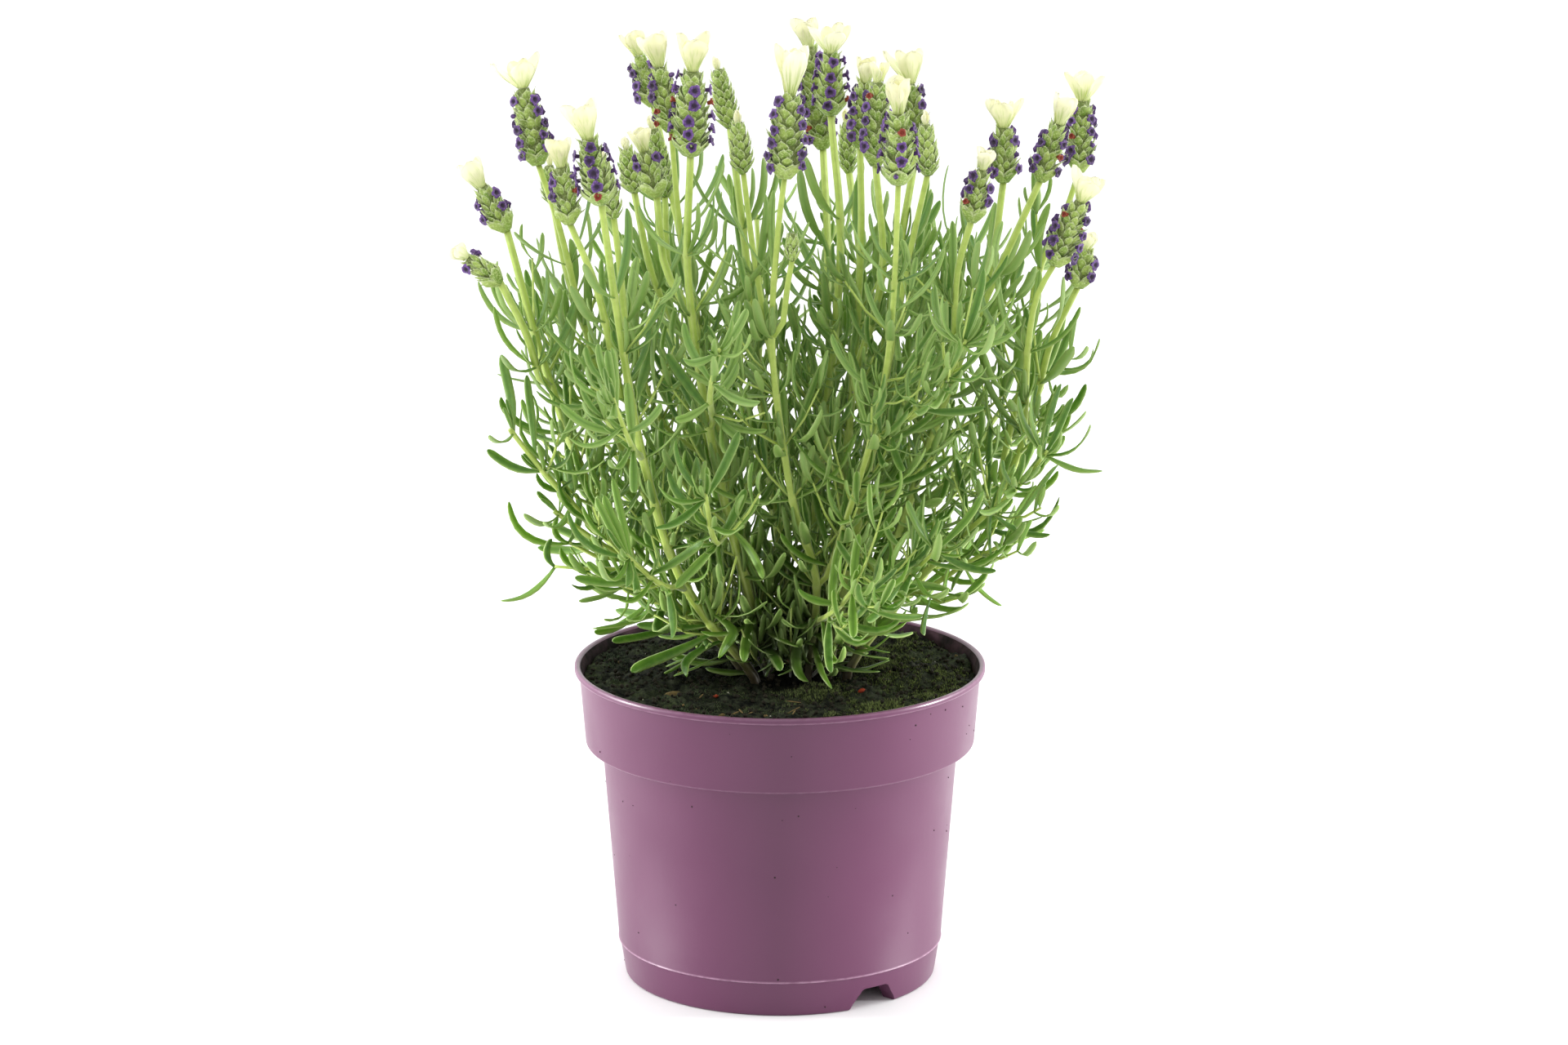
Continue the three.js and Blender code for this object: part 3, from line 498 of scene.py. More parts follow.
class Build:
    """A mesh gathered from closed tubes and spikes, with numbers at its points for the materials."""

    def __init__(self, *names):
        self.points = []
        self.corners = []
        self.sizes = []
        self.values = {name: [] for name in names}
        self.count = 0

    def keep(self, points, values):
        points = np.asarray(points, float)
        for name, rows in self.values.items():
            rows.append(np.broadcast_to(values.get(name, 0), points.shape[:-1]).ravel())
        self.points.append(points.reshape(-1, 3))
        first = self.count
        self.count += points.size // 3
        return first

    def faces(self, corners):
        self.corners.append(corners.ravel())
        self.sizes.append(np.full(len(corners), corners.shape[1]))

    def tube(self, rings, **values):
        """A skin over rings of points, each anticlockwise about the way it goes, closed at both ends."""
        count, sides = rings.shape[:2]
        first = self.keep(rings, values)
        low = first + np.arange(count - 1)[:, None] * sides
        i = np.arange(sides)
        j = (i + 1) % sides
        self.faces(np.stack([low + i, low + j, low + sides + j, low + sides + i], -1).reshape(-1, 4))
        self.faces((first + i[::-1])[None])
        self.faces((first + (count - 1) * sides + i)[None])

    def spikes(self, roots, tips, radius, **values):
        """Thin three-sided spikes, as hairs and moss."""
        roots, tips = np.asarray(roots, float), np.asarray(tips, float)
        along = tips - roots
        side = units(np.cross(along, np.array([0.31, 0.87, 0.39])))
        other = units(np.cross(along, side))
        rows = [roots + (side * math.cos(a) + other * math.sin(a)) * radius for a in (0, 2.1, 4.2)]
        values = {name: np.reshape(value, (-1, 1)) for name, value in values.items()}
        first = self.keep(np.stack([*rows, tips], 1), values) + np.arange(len(roots))[:, None] * 4
        for face in ((0, 1, 3), (1, 2, 3), (2, 0, 3), (2, 1, 0)):
            self.faces(first + np.array(face))

    def mesh(self, name):
        mesh = bpy.data.meshes.new(name)
        sizes = np.concatenate(self.sizes)
        corners = np.concatenate(self.corners)
        mesh.vertices.add(self.count)
        mesh.vertices.foreach_set("co", (np.concatenate(self.points) * MM).ravel())
        mesh.loops.add(len(corners))
        mesh.loops.foreach_set("vertex_index", corners)
        mesh.polygons.add(len(sizes))
        mesh.polygons.foreach_set("loop_start", np.cumsum(sizes) - sizes)
        mesh.update(calc_edges=True)
        return mesh

    def piece(self, name, material, slot, *nodes):
        """An object of the mesh that rides on the frame and stands for the nodes it replaces."""
        mesh = self.mesh(name)
        mesh.shade_smooth()
        for key, rows in self.values.items():
            layer = mesh.attributes.new(key, "FLOAT", "POINT")
            layer.data.foreach_set("value", np.concatenate(rows).astype(np.float32))
        piece = add_object(name, mesh)
        mesh.materials.append(material)
        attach(piece, "root")
        if nodes:
            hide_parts(*nodes)
        return piece


def add_object(name, data):
    made = bpy.data.objects.new(name, data)
    bpy.context.collection.objects.link(made)
    return made


def paint(red, green, blue):
    """A screen colour, from 0 to 255, as Blender's linear one."""
    def linear(part):
        part /= 255
        return part / 12.92 if part <= 0.04045 else ((part + 0.055) / 1.055) ** 2.4
    return linear(red), linear(green), linear(blue), 1


class Nodes:
    """A node tree, with a short way to add a node and join it to others."""

    def __init__(self, tree):
        self.tree = tree

    def link(self, socket, target):
        self.tree.links.new(socket, target)

    def node(self, kind, inputs, output=0, **settings):
        made = self.tree.nodes.new("ShaderNode" + kind)
        for key, value in settings.items():
            setattr(made, key, value)
        for key, value in inputs.items():
            if isinstance(value, bpy.types.NodeSocket):
                self.link(value, made.inputs[key])
            else:
                made.inputs[key].default_value = value
        return made.outputs[output]

    def span(self, value, low, high, to_low=0, to_high=1):
        return self.node("MapRange", {0: value, 1: low, 2: high, 3: to_low, 4: to_high})


class Shader(Nodes):
    """A material's nodes. Its colour starts with one and gets others over it, each by a share."""

    def __init__(self, name, **finish):
        self.material = bpy.data.materials.new(name)
        self.material.use_nodes = True
        super().__init__(self.material.node_tree)
        self.skin = self.tree.nodes["Principled BSDF"]
        self.place = self.node("TexCoord", {}, 3)
        self.colour = None
        for key, value in finish.items():
            self.skin.inputs[key.replace("_", " ")].default_value = value

    def value(self, name, share=1):
        value = self.node("Attribute", {}, 2, attribute_name=name)
        return value if share == 1 else self.times(value, share)

    def noise(self, scale, detail=3):
        return self.node("TexNoise", {"Vector": self.place, "Scale": scale, "Detail": detail})

    def spots(self, scale, low, high, most=1, detail=3):
        """A share that goes from 0 where the noise is under low to its most where it is over high."""
        return self.span(self.noise(scale, detail), low, high, 0, most)

    def mix(self, share, a, b):
        return self.node("Mix", {0: share, 6: a, 7: b}, 2, data_type="RGBA")

    def times(self, a, b):
        return self.node("Math", {0: a, 1: b}, operation="MULTIPLY")

    def over(self, share, *colour):
        self.colour = self.mix(share, self.colour, paint(*colour))

    def translucent(self, share, tint, tint_share):
        """Part of the light goes through, in the skin's colour mixed with a tint."""
        glow = self.node("BsdfTranslucent", {"Color": self.mix(tint_share, self.colour, paint(*tint))})
        both = self.node("MixShader", {0: share, 1: self.skin.outputs[0], 2: glow})
        self.link(both, self.tree.nodes["Material Output"].inputs["Surface"])

    def finish(self, *grain):
        """Joins the colour to the skin, with a bump of the grain's scale, detail, depth and strength."""
        self.link(self.colour, self.skin.inputs["Base Color"])
        if grain:
            scale, detail, depth, strength = grain
            bump = {"Height": self.noise(scale, detail), "Distance": depth, "Strength": strength}
            self.link(self.node("Bump", bump), self.skin.inputs["Normal"])
        return self.material


def leaf_material():
    m = Shader("lavender_leaf", Roughness=0.45)
    tone = m.value("tone")
    low = m.mix(tone, paint(44, 94, 14), paint(124, 168, 50))
    high = m.mix(tone, paint(90, 140, 58), paint(184, 213, 128))
    m.colour = m.mix(m.value("height"), low, high)
    m.over(m.spots(420, 0.35, 0.7, 0.35), 136, 176, 64)
    # painted shade: darker green along the groove down the leaf's middle
    m.over(m.value("groove", 0.45), 56, 96, 20)
    # pale margins: partly the hairy margin's own colour, partly a painted highlight
    m.over(m.value("edge", 0.8), 199, 219, 136)
    m.over(m.value("under", 0.5), 160, 192, 110)
    # painted shade: leaves turn dark in the heart of the crown
    m.over(m.value("age", 0.85), 34, 44, 16)
    m.translucent(0.3, (160, 206, 50), 0.5)
    return m.finish(2600, 2, 0.00015, 0.5)


def stalk_material():
    m = Shader("lavender_stalk", Roughness=0.5, Sheen_Weight=0.3, Sheen_Roughness=0.3)
    m.colour = m.mix(m.value("height"), paint(152, 174, 58), paint(180, 204, 90))
    m.over(m.value("ridge", 0.45), 218, 230, 150)
    m.over(m.value("joint", 0.35), 192, 202, 120)
    m.over(m.spots(260, 0.4, 0.75, 0.4), 132, 162, 52)
    m.over(m.value("wood"), 88, 74, 40)
    # painted shade: stalks turn dark in the heart of the crown
    m.over(m.value("age", 0.8), 32, 27, 18)
    return m.finish(1800, 2, 0.0002, 0.5)


def calyx_material():
    m = Shader("lavender_calyx", Roughness=0.7, Sheen_Weight=0.25, Sheen_Roughness=0.35)
    m.colour = m.mix(m.value("tone"), paint(112, 146, 44), paint(166, 190, 90))
    m.over(m.spots(650, 0.5, 0.62, 0.5, 2), 100, 112, 46)
    m.over(m.spots(1300, 0.5, 0.6, 0.6, 2), 204, 222, 142)
    m.over(m.value("tip", 0.9), 220, 231, 178)
    # painted shade: the core between the scales is darkened
    m.over(m.value("dusk"), 84, 76, 58)
    m.over(m.value("hair"), 226, 234, 200)
    return m.finish(2600, 2, 0.0002, 0.7)


def floret_material():
    m = Shader("lavender_floret", Roughness=0.5)
    m.colour = m.mix(m.value("tone"), paint(64, 36, 98), paint(110, 70, 154))
    m.over(m.spots(1300, 0.5, 0.66, 0.7), 158, 120, 186)
    m.over(m.spots(1000, 0.56, 0.68, 0.7), 34, 18, 52)
    m.over(m.value("throat"), 40, 18, 50)
    m.over(m.value("spent"), 142, 56, 36)
    return m.finish(2200, 2, 0.0001, 0.5)


def bract_material():
    """Cream, with a green foot and green streaks that run up from it."""
    m = Shader("lavender_bract", Roughness=0.5)
    tone, share, side = (m.value(name) for name in BRACT_VALUES)
    m.colour = m.mix(tone, paint(250, 249, 222), paint(255, 254, 240))
    m.over(m.span(share, 0.02, 0.5, 0.5, 0), 220, 234, 134)
    place = m.node("CombineXYZ", {0: m.times(side, 6), 1: m.times(share, 2), 2: m.times(tone, 9)})
    streak = m.span(m.node("TexNoise", {"Vector": place, "Scale": 1, "Detail": 2}), 0.5, 0.62)
    m.over(m.times(streak, m.span(share, 0.1, 0.85, 0.8, 0)), 178, 204, 92)
    m.translucent(0.6, (255, 254, 240), 0.4)
    return m.finish(700, 2, 0.0002, 0.5)


def soil_material():
    m = Shader("compost_dark", Roughness=0.9, Specular_IOR_Level=0.12)
    earth = m.mix(m.spots(300, 0.4, 0.68, detail=5), paint(13, 15, 12), paint(58, 62, 48))
    moss = m.mix(m.spots(900, 0.35, 0.7, detail=4), paint(22, 30, 20), paint(84, 94, 62))
    m.colour = m.mix(m.spots(60, 0.48, 0.62, 0.6, 4), earth, moss)
    # painted shadow: the compost under the crown is darkened by the dark value
    m.over(m.value("dark"), 10, 9, 8)
    return m.finish(1500, 5, 0.0006, 0.9)


def moss_material():
    """Green moss, paler and yellower towards the right."""
    m = Shader("compost_moss", Roughness=0.8, Specular_IOR_Level=0.15)
    across = m.node("SeparateXYZ", {0: m.place})
    pale = m.mix(m.span(across, -0.05, 0.03), paint(84, 96, 74), paint(130, 142, 82))
    m.colour = m.mix(m.value("tone"), paint(22, 30, 20), pale)
    return m.finish()


def crumb_material(name, dark, light, scale=500):
    m = Shader(name, Roughness=0.8, Specular_IOR_Level=0.2)
    m.colour = m.mix(m.noise(scale), paint(*dark), paint(*light))
    return m.finish(scale * 3, 3, 0.0002, 0.5)


def pot_material():
    """Purple plastic with soft scuffs, and pale lines painted along its edges as highlights."""
    m = Shader("pot_purple", Roughness=0.34)
    m.colour = m.mix(m.spots(9, 0.35, 0.7), paint(88, 42, 73), paint(96, 48, 80))
    # painted highlight: pale lines along the ledge, the lip and the collar's lower edge, by the line value
    m.over(m.times(m.value("line"), m.span(m.noise(300), 0.3, 0.6, 0.35, 0.9)), 206, 168, 192)
    m.link(m.span(m.noise(28, 6), 0.35, 0.75, 0.28, 0.42), m.skin.inputs["Roughness"])
    return m.finish(380, 4, 0.00006, 0.3)


def stain_and_shade_material():
    """The pot's inner wall, darker: partly stained by wet compost, partly painted shade inside the pot."""
    m = Shader("pot_inside", Roughness=0.85, Specular_IOR_Level=0.15)
    m.colour = m.mix(m.spots(120, 0.35, 0.65, detail=4), paint(22, 17, 15), paint(70, 48, 58))
    return m.finish(900, 3, 0.0002, 0.5)


# What each kind of mesh tells its material at every point
LEAF_VALUES = ("tone", "height", "edge", "under", "groove", "age")
STALK_VALUES = ("ridge", "joint", "height", "wood", "age")
SCALE_VALUES = ("tone", "tip", "dusk", "hair")
FLORET_VALUES = ("tone", "throat", "spent")
BRACT_VALUES = ("tone", "share", "side")

# A leaf's section: points as shares of the half width and of the thickness, and how far each is an
# edge, the pale underside or the groove. The margins roll under, with a groove along the middle.
# Of these, the edge's paleness is partly a painted highlight, and the groove's darkness painted shade.
LEAF_THICK = 1.1
LARGE_SECTION = (
    (1, -0.25, 1, 0.3, 0), (0.75, 0.04, 0.15, 0, 0), (0.36, 0.14, 0, 0, 0), (0, -0.1, 0, 0, 1),
    (-0.36, 0.14, 0, 0, 0), (-0.75, 0.04, 0.15, 0, 0), (-1, -0.25, 1, 0.3, 0), (0, -0.62, 0, 1, 0),
)
SMALL_SECTION = (
    (1, -0.2, 0.9, 0.3, 0), (0.45, 0.12, 0, 0, 0), (0, -0.08, 0, 0, 1), (-0.45, 0.12, 0, 0, 0),
    (-1, -0.2, 0.9, 0.3, 0), (0, -0.55, 0, 1, 0),
)
LARGE_SHARES = np.array([0, 0.12, 0.26, 0.4, 0.54, 0.68, 0.81, 0.9, 0.965, 1])
SMALL_SHARES = np.array([0, 0.2, 0.42, 0.64, 0.82, 0.94, 1])
LEAF_TWIST = 0.65
LEAF_CUP = 0.22

# The crown: the middle of the stems' feet, and the heart of the crown over it, where shade is painted on the
# growth
CROWN = (4, -2)
SHADE_MIDDLE = (4, 6)
SHADE_RADIUS = 44
SHADE_TOP_Z = 190


def age_at(points):
    """How much shade is painted on growth: most in the heart of the crown, just over the compost."""
    spread = np.hypot(points[..., 0] - SHADE_MIDDLE[0], points[..., 1] - SHADE_MIDDLE[1])
    return smooth((SHADE_TOP_Z - points[..., 2]) / 50) * smooth((SHADE_RADIUS - spread) / 24)


def round_tip(s, start, reach):
    """Shares of the width that close a blade with a round tip, from its start along the blade."""
    return np.sqrt(np.clip(1 - ((s - start) / reach).clip(0) ** 2, 0.02, 1))


def leaf_mesh(build, leaf, large, draw):
    """A leaf that widens from its foot and twists, bows and cups a little."""
    section = np.array(LARGE_SECTION if large else SMALL_SECTION)
    s = LARGE_SHARES if large else SMALL_SHARES
    wide = (0.44 + 0.6 * smooth(s / 0.45)) * (1 - 0.12 * smooth((s - 0.6) / 0.4)) * round_tip(s, 0.84, 0.165)
    points = leaf_points(leaf, s)
    tangent = units(np.gradient(points, axis=0))
    upper = units(np.cross(tangent, leaf.across))
    side = np.cross(upper, tangent)
    twist = draw(-LEAF_TWIST, LEAF_TWIST) * s[:, None] ** 1.5
    side, upper = side * np.cos(twist) + upper * np.sin(twist), upper * np.cos(twist) - side * np.sin(twist)
    bow = draw(-0.03, 0.06) * smooth((s - 0.55) / 0.45) - draw(0.02, 0.12) * np.sin(math.pi * s)
    across, height, edge, under, groove = section.T
    half = (leaf.width * 0.47 * wide)[:, None]
    lift = np.sqrt(wide.clip(0, 1))[:, None] * height * LEAF_THICK - LEAF_CUP * half * across ** 2
    rings = (points[:, None] + upper[:, None] * (leaf.length * bow)[:, None, None]
             + side[:, None] * (half * across)[..., None] + upper[:, None] * lift[..., None])
    build.tube(rings, tone=draw(0, 1), height=smooth((leaf.root[2] - 150) / 180), edge=edge, under=under,
               groove=groove, age=age_at(rings))


STALK_SIDES = 12
STALK_STEP = 7
SHOOT_SIDES = 6
SHOOT_STEP = 8
JOINT_SWELL = 0.22
JOINT_RINGS = (-1.9, 0, 1.9)
JOINT_SPREAD = 1.4


def stalk_mesh(build, line, low, high, turn, joints=(), wood=0, sides=STALK_SIDES, step=STALK_STEP):
    """A four-ridged stalk that swells at its joints, woody near the soil."""
    reach = set(np.linspace(0, line.length, max(3, int(line.length / step))))
    for joint in joints:
        reach |= {joint + away for away in JOINT_RINGS if 0 < joint + away < line.length}
    angle = turn + angles(sides)
    ridge = np.cos(4 * (angle - turn))
    rings, bulge = [], []
    for distance in sorted(reach):
        near = sum(math.exp(-((distance - joint) / JOINT_SPREAD) ** 2) for joint in joints)
        bulge.append([min(1, near)])
        radius = mix(low, high, distance / line.length) * (1 + JOINT_SWELL * near) * (0.84 + 0.15 * ridge)
        rings.append(line.smooth_place(distance).ring(angle, radius))
    rings = np.array(rings)
    z = rings[:, :1, 2]
    build.tube(rings, age=age_at(rings), ridge=(ridge + 1) / 2, joint=np.array(bulge),
               height=smooth((z - 140) / 200), wood=wood * (1 - smooth((z - 128) / 24)))


def spike_radius(share, radius):
    """A spike's radius: it swells from its foot to its widest place and then tapers."""
    swell = mix(HEAD_FOOT, 1, np.sin(share.clip(0, HEAD_WIDEST) / HEAD_WIDEST * math.pi / 2))
    taper = 1 - HEAD_TAPER * ((share - HEAD_WIDEST) / (1 - HEAD_WIDEST)).clip(0, 1) ** 2
    return np.where(share < HEAD_WIDEST, swell, taper) * radius


class Axis:
    """The straight middle of a flower head, with points round it."""

    def __init__(self, low, top, radius):
        self.place = place_at(low, unit(top - low))
        self.length = float(np.linalg.norm(top - low))
        self.radius = radius

    def at(self, distance, angle, radius):
        return self.place.ring(angle, radius, distance)

    def reach(self, distance):
        return spike_radius(np.asarray(distance / self.length), self.radius)

    def end(self, away):
        """The place on the axis a little beyond the head's end, or before it."""
        along = self.place.along
        return place_at(self.place.point + along * (self.length + away), along)


SCALE_S = np.array([0, 0.3, 0.56, 0.76, 0.92, 1.0])[:, None]
SCALE_U = np.array([-1, -0.7, 0, 0.7, 1])
SCALE_BACK = [4, 2, 0]
SCALE_THICK = 0.45
SCALE_HAIRS = 10
HAIR_RADIUS = 0.1


def scale_mesh(build, axis, foot, angle, length, half, bulge, flare, draw, point=1.5):
    """One fuzzy calyx scale: a shell wrapped on the spike, that bulges and turns its tip out."""
    s = SCALE_S
    top = np.clip(1 - ((s - 0.36) / 0.65).clip(0) ** point, 0.03, 1) ** 0.8
    wide = half * (0.7 + 0.3 * smooth(s / 0.34)) * top
    d = foot + s * length
    body = axis.reach(d)
    radius = (body * mix(0.76, 0.98, smooth(s * 1.3)) + flare * s ** 3
              + bulge * (1 - SCALE_U ** 2) * np.sin(math.pi * (0.12 + 0.8 * s)))
    turn = angle + SCALE_U * wide / body.clip(2)
    d = d - 0.12 * length * SCALE_U ** 2 * s
    outer = axis.at(d, turn, radius)
    inner_radius = (radius - SCALE_THICK * (1.15 - s))[:, SCALE_BACK]
    inner = axis.at(d[:, SCALE_BACK], turn[:, SCALE_BACK], inner_radius)
    tone = draw(0, 1)
    rim = np.clip(smooth((s - 0.76) / 0.22) + SCALE_U ** 6 * smooth((s - 0.1) / 0.4), 0, 1)
    build.tube(np.concatenate([outer, inner], 1), tone=tone, tip=np.concatenate([rim, rim[:, SCALE_BACK]], 1))
    hair_mesh(build, axis, outer, angle, tone, draw)


def hair_mesh(build, axis, outer, angle, tone, draw):
    """Hairs along a scale's rim, from its middle up to its tip."""
    roots, tips = [], []
    for _ in range(SCALE_HAIRS):
        row = 2 + int(draw(0, 3.99))
        column = 2 if row == 5 else 0 if draw(0, 1) < 0.5 else 4
        away = axis.place.out(angle + draw(-0.7, 0.7) + (column - 2) * 0.18)
        roots.append(outer[row, column])
        tips.append(roots[-1] + (away * 0.75 + axis.place.along * draw(0, 0.8)) * draw(0.5, 1))
    build.spikes(roots, tips, HAIR_RADIUS, hair=0.85, tone=tone)


FLORET_SIDES = 15


def floret_mesh(build, root, out, size, draw, spent=0):
    """One small flared flower of five lobes, on a short tube."""
    angle = angles(FLORET_SIDES)
    lobe = 0.5 + 0.5 * np.cos(5 * (angle + draw(0, 1)))
    rim = size * (0.76 + 0.24 * lobe ** 0.7) * (1 + 0.1 * np.sin(3 * angle + draw(0, 6)))
    droop = 0.35 * size * lobe * draw(0.2, 1) + 0.25 * np.sin(4 * angle + draw(0, 6))
    rows = ((0.75, -0.6, 0.4), (0.9, 0.9, 0.4), (rim, 1.75 - droop, 0.1), (rim * 0.96, 1.95 - droop, 0),
            (rim * 0.62, 1.8, 0.45), (0.8, 1.4, 1), (0.3, 0.9, 1))
    place = place_at(root, out)
    rings = np.array([place.ring(angle, radius, height) for radius, height, _ in rows])
    build.tube(rings, tone=draw(0, 1), throat=np.array([[dark] for _, _, dark in rows]), spent=spent)


BEAD_SHARES = (0.03, 0.2, 0.5, 0.8, 0.97)
CRUMB_SHARES = (0.1, 0.5, 0.9)


def bead_mesh(build, root, out, radius, length, shares=BEAD_SHARES, sides=8, **values):
    """A small closed bud or crumb."""
    place = place_at(root, out)
    rings = [place.ring(angles(sides), radius * math.sqrt(1 - (2 * share - 1) ** 2), share * length)
             for share in shares]
    build.tube(np.array(rings), **values)


def crumb_mesh(build, root, out, radius, length):
    bead_mesh(build, root, out, radius, length, CRUMB_SHARES, 6)


SCALE_COLUMNS = 10
SCALE_ROW = 4.3
SCALE_LENGTH = 5.4
BUD_ROW = 3.8
CUP_SCALES = 4
CUP_LENGTH = 7.8
FLORET_COLUMNS = 4
FLORET_SIZES = (2.2, 2.8)
SPENT_SIZES = (1.4, 1.9)
CLOSED_LENGTHS = (2, 3)
FLORET_GAPS = (4.8, 6.2)
OPEN_SHARE = 0.84
CLOSED_SHARE = 0.9
# Heads that are turned to show their columns of florets between two others, and those that open high up
HEAD_TURNS = {"05": math.pi / 4, "09": math.pi / 4, "17": math.pi / 4, "20": math.pi / 4}
FLORETS_FROM = {"01": 14, "04": 12, "11": 14, "24": 8, "19": 8, "02": 8}
FIRST_FLORET = 4


def core_mesh(build, axis):
    share = np.linspace(0, 1, 9)[:, None]
    radius = spike_radius(share, axis.radius) * 0.8
    # the core is marked half dark, as painted shade between the scales
    build.tube(axis.at(share * axis.length, angles(16), radius), tone=0.2, dusk=0.5)


def scale_spots(length, turn, row, start, jitter, draw):
    """The height and angle of each scale on a spike, in staggered columns."""
    for column in range(SCALE_COLUMNS):
        foot = start + (column % 2) * row / 2
        while foot < length:
            yield foot, turn + column * TURN / SCALE_COLUMNS + draw(-jitter, jitter)
            foot += row


def spike_meshes(scales, florets, axis, number, draw):
    """A flower head: columns of scales, a cup of broad ones at its foot, and columns of florets."""
    turn = HEAD_TURNS.get(number, 0)
    core_mesh(scales, axis)
    wide = axis.radius * 0.5
    for foot, angle in scale_spots(axis.length - 3.6, turn, SCALE_ROW, 0.4, 0.25, draw):
        scale_mesh(scales, axis, foot + draw(-1.2, 1.2), angle, SCALE_LENGTH + draw(-1, 1),
                   wide * draw(0.6, 0.95), 0.7, draw(0.4, 2.4), draw, 1.7)
    for cup in range(CUP_SCALES):
        angle = turn + TURN * (cup + 0.5) / CUP_SCALES
        scale_mesh(scales, axis, -0.8, angle, CUP_LENGTH, wide * 1.6, 2, 0.7, draw, 2.6)
    for column in range(FLORET_COLUMNS):
        foot = FLORETS_FROM.get(number, FIRST_FLORET) + (column % 2) * 1.5
        while foot < axis.length - 1.5:
            angle = turn + TURN * (column + 0.5) / FLORET_COLUMNS + draw(-0.2, 0.2)
            at = axis.at(foot, angle, axis.reach(foot) + 0.9)
            out = unit(axis.place.out(angle) + axis.place.along * draw(-0.05, 0.4))
            kind = draw(0, 1)
            if kind < OPEN_SHARE:
                floret_mesh(florets, at, out, draw(*FLORET_SIZES), draw)
            elif kind < CLOSED_SHARE:
                bead_mesh(florets, at, out, 1.1, draw(*CLOSED_LENGTHS), tone=draw(0, 0.4), throat=0.3)
            else:
                floret_mesh(florets, at, out, draw(*SPENT_SIZES), draw, spent=1)
            foot += draw(*FLORET_GAPS)


BRACT_ROWS = 11
BRACT_COLUMNS = 9
BRACT_THICK = 0.3
INNER_BRACTS = 2
SMALLEST_TUFTED = 3


def bract_mesh(build, place, angle, opening, length, width, draw, foot=2.1):
    """One petal-like bract: narrow at its foot, broad and wavy near its top, and cupped."""
    out = place.out(angle)
    across = unit(np.cross(place.along, out))
    s = np.linspace(0, 1, BRACT_ROWS)[:, None]
    u = np.linspace(-1, 1, BRACT_COLUMNS)
    half = width / 2 * (0.38 + 0.7 * smooth(s / 0.7)) * round_tip(s, 0.66, 0.345)
    lean = opening * (1.2 - 0.35 * s)
    step = length / (BRACT_ROWS - 1)
    forward, sideways = ((np.cumsum(part, 0) - part[0]) * step for part in (np.cos(lean), np.sin(lean)))
    wave = 0.12 * width * np.sin(u * 4 + draw(0, 6) + 3 * s) * smooth(s) * (0.3 + np.abs(u))
    notch = -0.06 * length * smooth((s - 0.7) / 0.3) * np.exp(-(u * 3) ** 2) * draw(-0.4, 1)
    depth = foot + sideways + wave - 0.3 * half * u ** 2 * (1.4 - 0.7 * s)
    skin = (place.point + place.along * (forward + notch)[..., None] + out * depth[..., None]
            + across * (half * u)[..., None])
    back = skin - out * BRACT_THICK
    build.tube(np.concatenate([skin, back[:, ::-1]], 1), tone=draw(0, 1), share=s,
               side=np.concatenate([u, u[::-1]]))


def tuft_meshes(build, place, end, draw):
    """The bracts on top of a head: those of the solid, and two narrower ones inside them."""
    fine = drawer(BRACT_SEED + int(end["length"] * 31) + int(end["number"]) * 7)
    turn = draw(0, math.pi)
    sides = 2 * end["bracts"]
    width = min(BRACT_WIDEST, BRACT_NARROWEST + end["length"] * BRACT_WIDENING)
    for i in range(0, sides, 2):
        opening = math.radians(end["spread"] + draw(-BRACT_SPREAD, BRACT_SPREAD))
        length = end["length"] * draw(BRACT_SHORTEST, 1)
        bract_mesh(build, place, turn + TURN * (i + 0.5) / sides, opening, length, width, fine)
    for k in range(INNER_BRACTS):
        bract_mesh(build, place, turn + math.pi * k + fine(0.3, 1.2), math.radians(end["spread"] * 0.45),
                   end["length"] * fine(0.72, 0.92), width * 0.8, fine, foot=1.2)


def bud_meshes(scales, tips, axis, draw):
    """A young head: green scales only, with a small closed tuft on the larger ones."""
    core_mesh(scales, axis)
    turn = draw(0, 3)
    for foot, angle in scale_spots(axis.length - 2.6, turn, BUD_ROW, 0, 0.15, draw):
        scale_mesh(scales, axis, foot + draw(-0.5, 0.5), angle, draw(3.8, 5), axis.radius * 0.42, 0.6,
                   draw(0.1, 0.9), draw)
    if axis.radius >= SMALLEST_TUFTED:
        for k in range(3):
            angle, length = turn + k * 2.1, draw(6, 7.5)
            bract_mesh(tips, axis.end(-1.5), angle, math.radians(-2), length, 3.4, draw, foot=0.9)


# Extra foliage: small leaves in the joints, and short leafy shoots in the lower half.
# It stays in the solids' box, off the pot and in front of no stem that the picture shows whole.
BOX_LOW = np.array(cad_box[0]) / MM + 0.6
BOX_HIGH = np.array(cad_box[1]) / MM - 0.6
RIM_CLEAR_Z = 134.5
SOIL_CLEAR_Z = 130
SOIL_CLEAR_RADIUS = 79
CROWN_Z = 148
CROWN_MIDDLE = -4
CROWN_FRONT = -34
CROWN_WIDTH = 50
# How far the foliage reaches to the left and right at each height
REACH_Z = (133, 146, 158, 175, 190, 203, 215, 242, 251, 271, 300, 330)
REACH_RIGHT = (56, 66, 76, 88, 101, 114, 115, 119, 127, 133, 133.4, 133.4)
REACH_LEFT = (-60, -70, -78, -88, -94, -103, -101, -112, -114, -116, -122, -133)
SHOWN_STEMS = (2, 3, 7)
SHOWN_PEDUNCLE = 32
SIGHT_HALF_WIDTH = 2.4
SIGHT_HALF_HEIGHT = 4.5
sight_lines = []

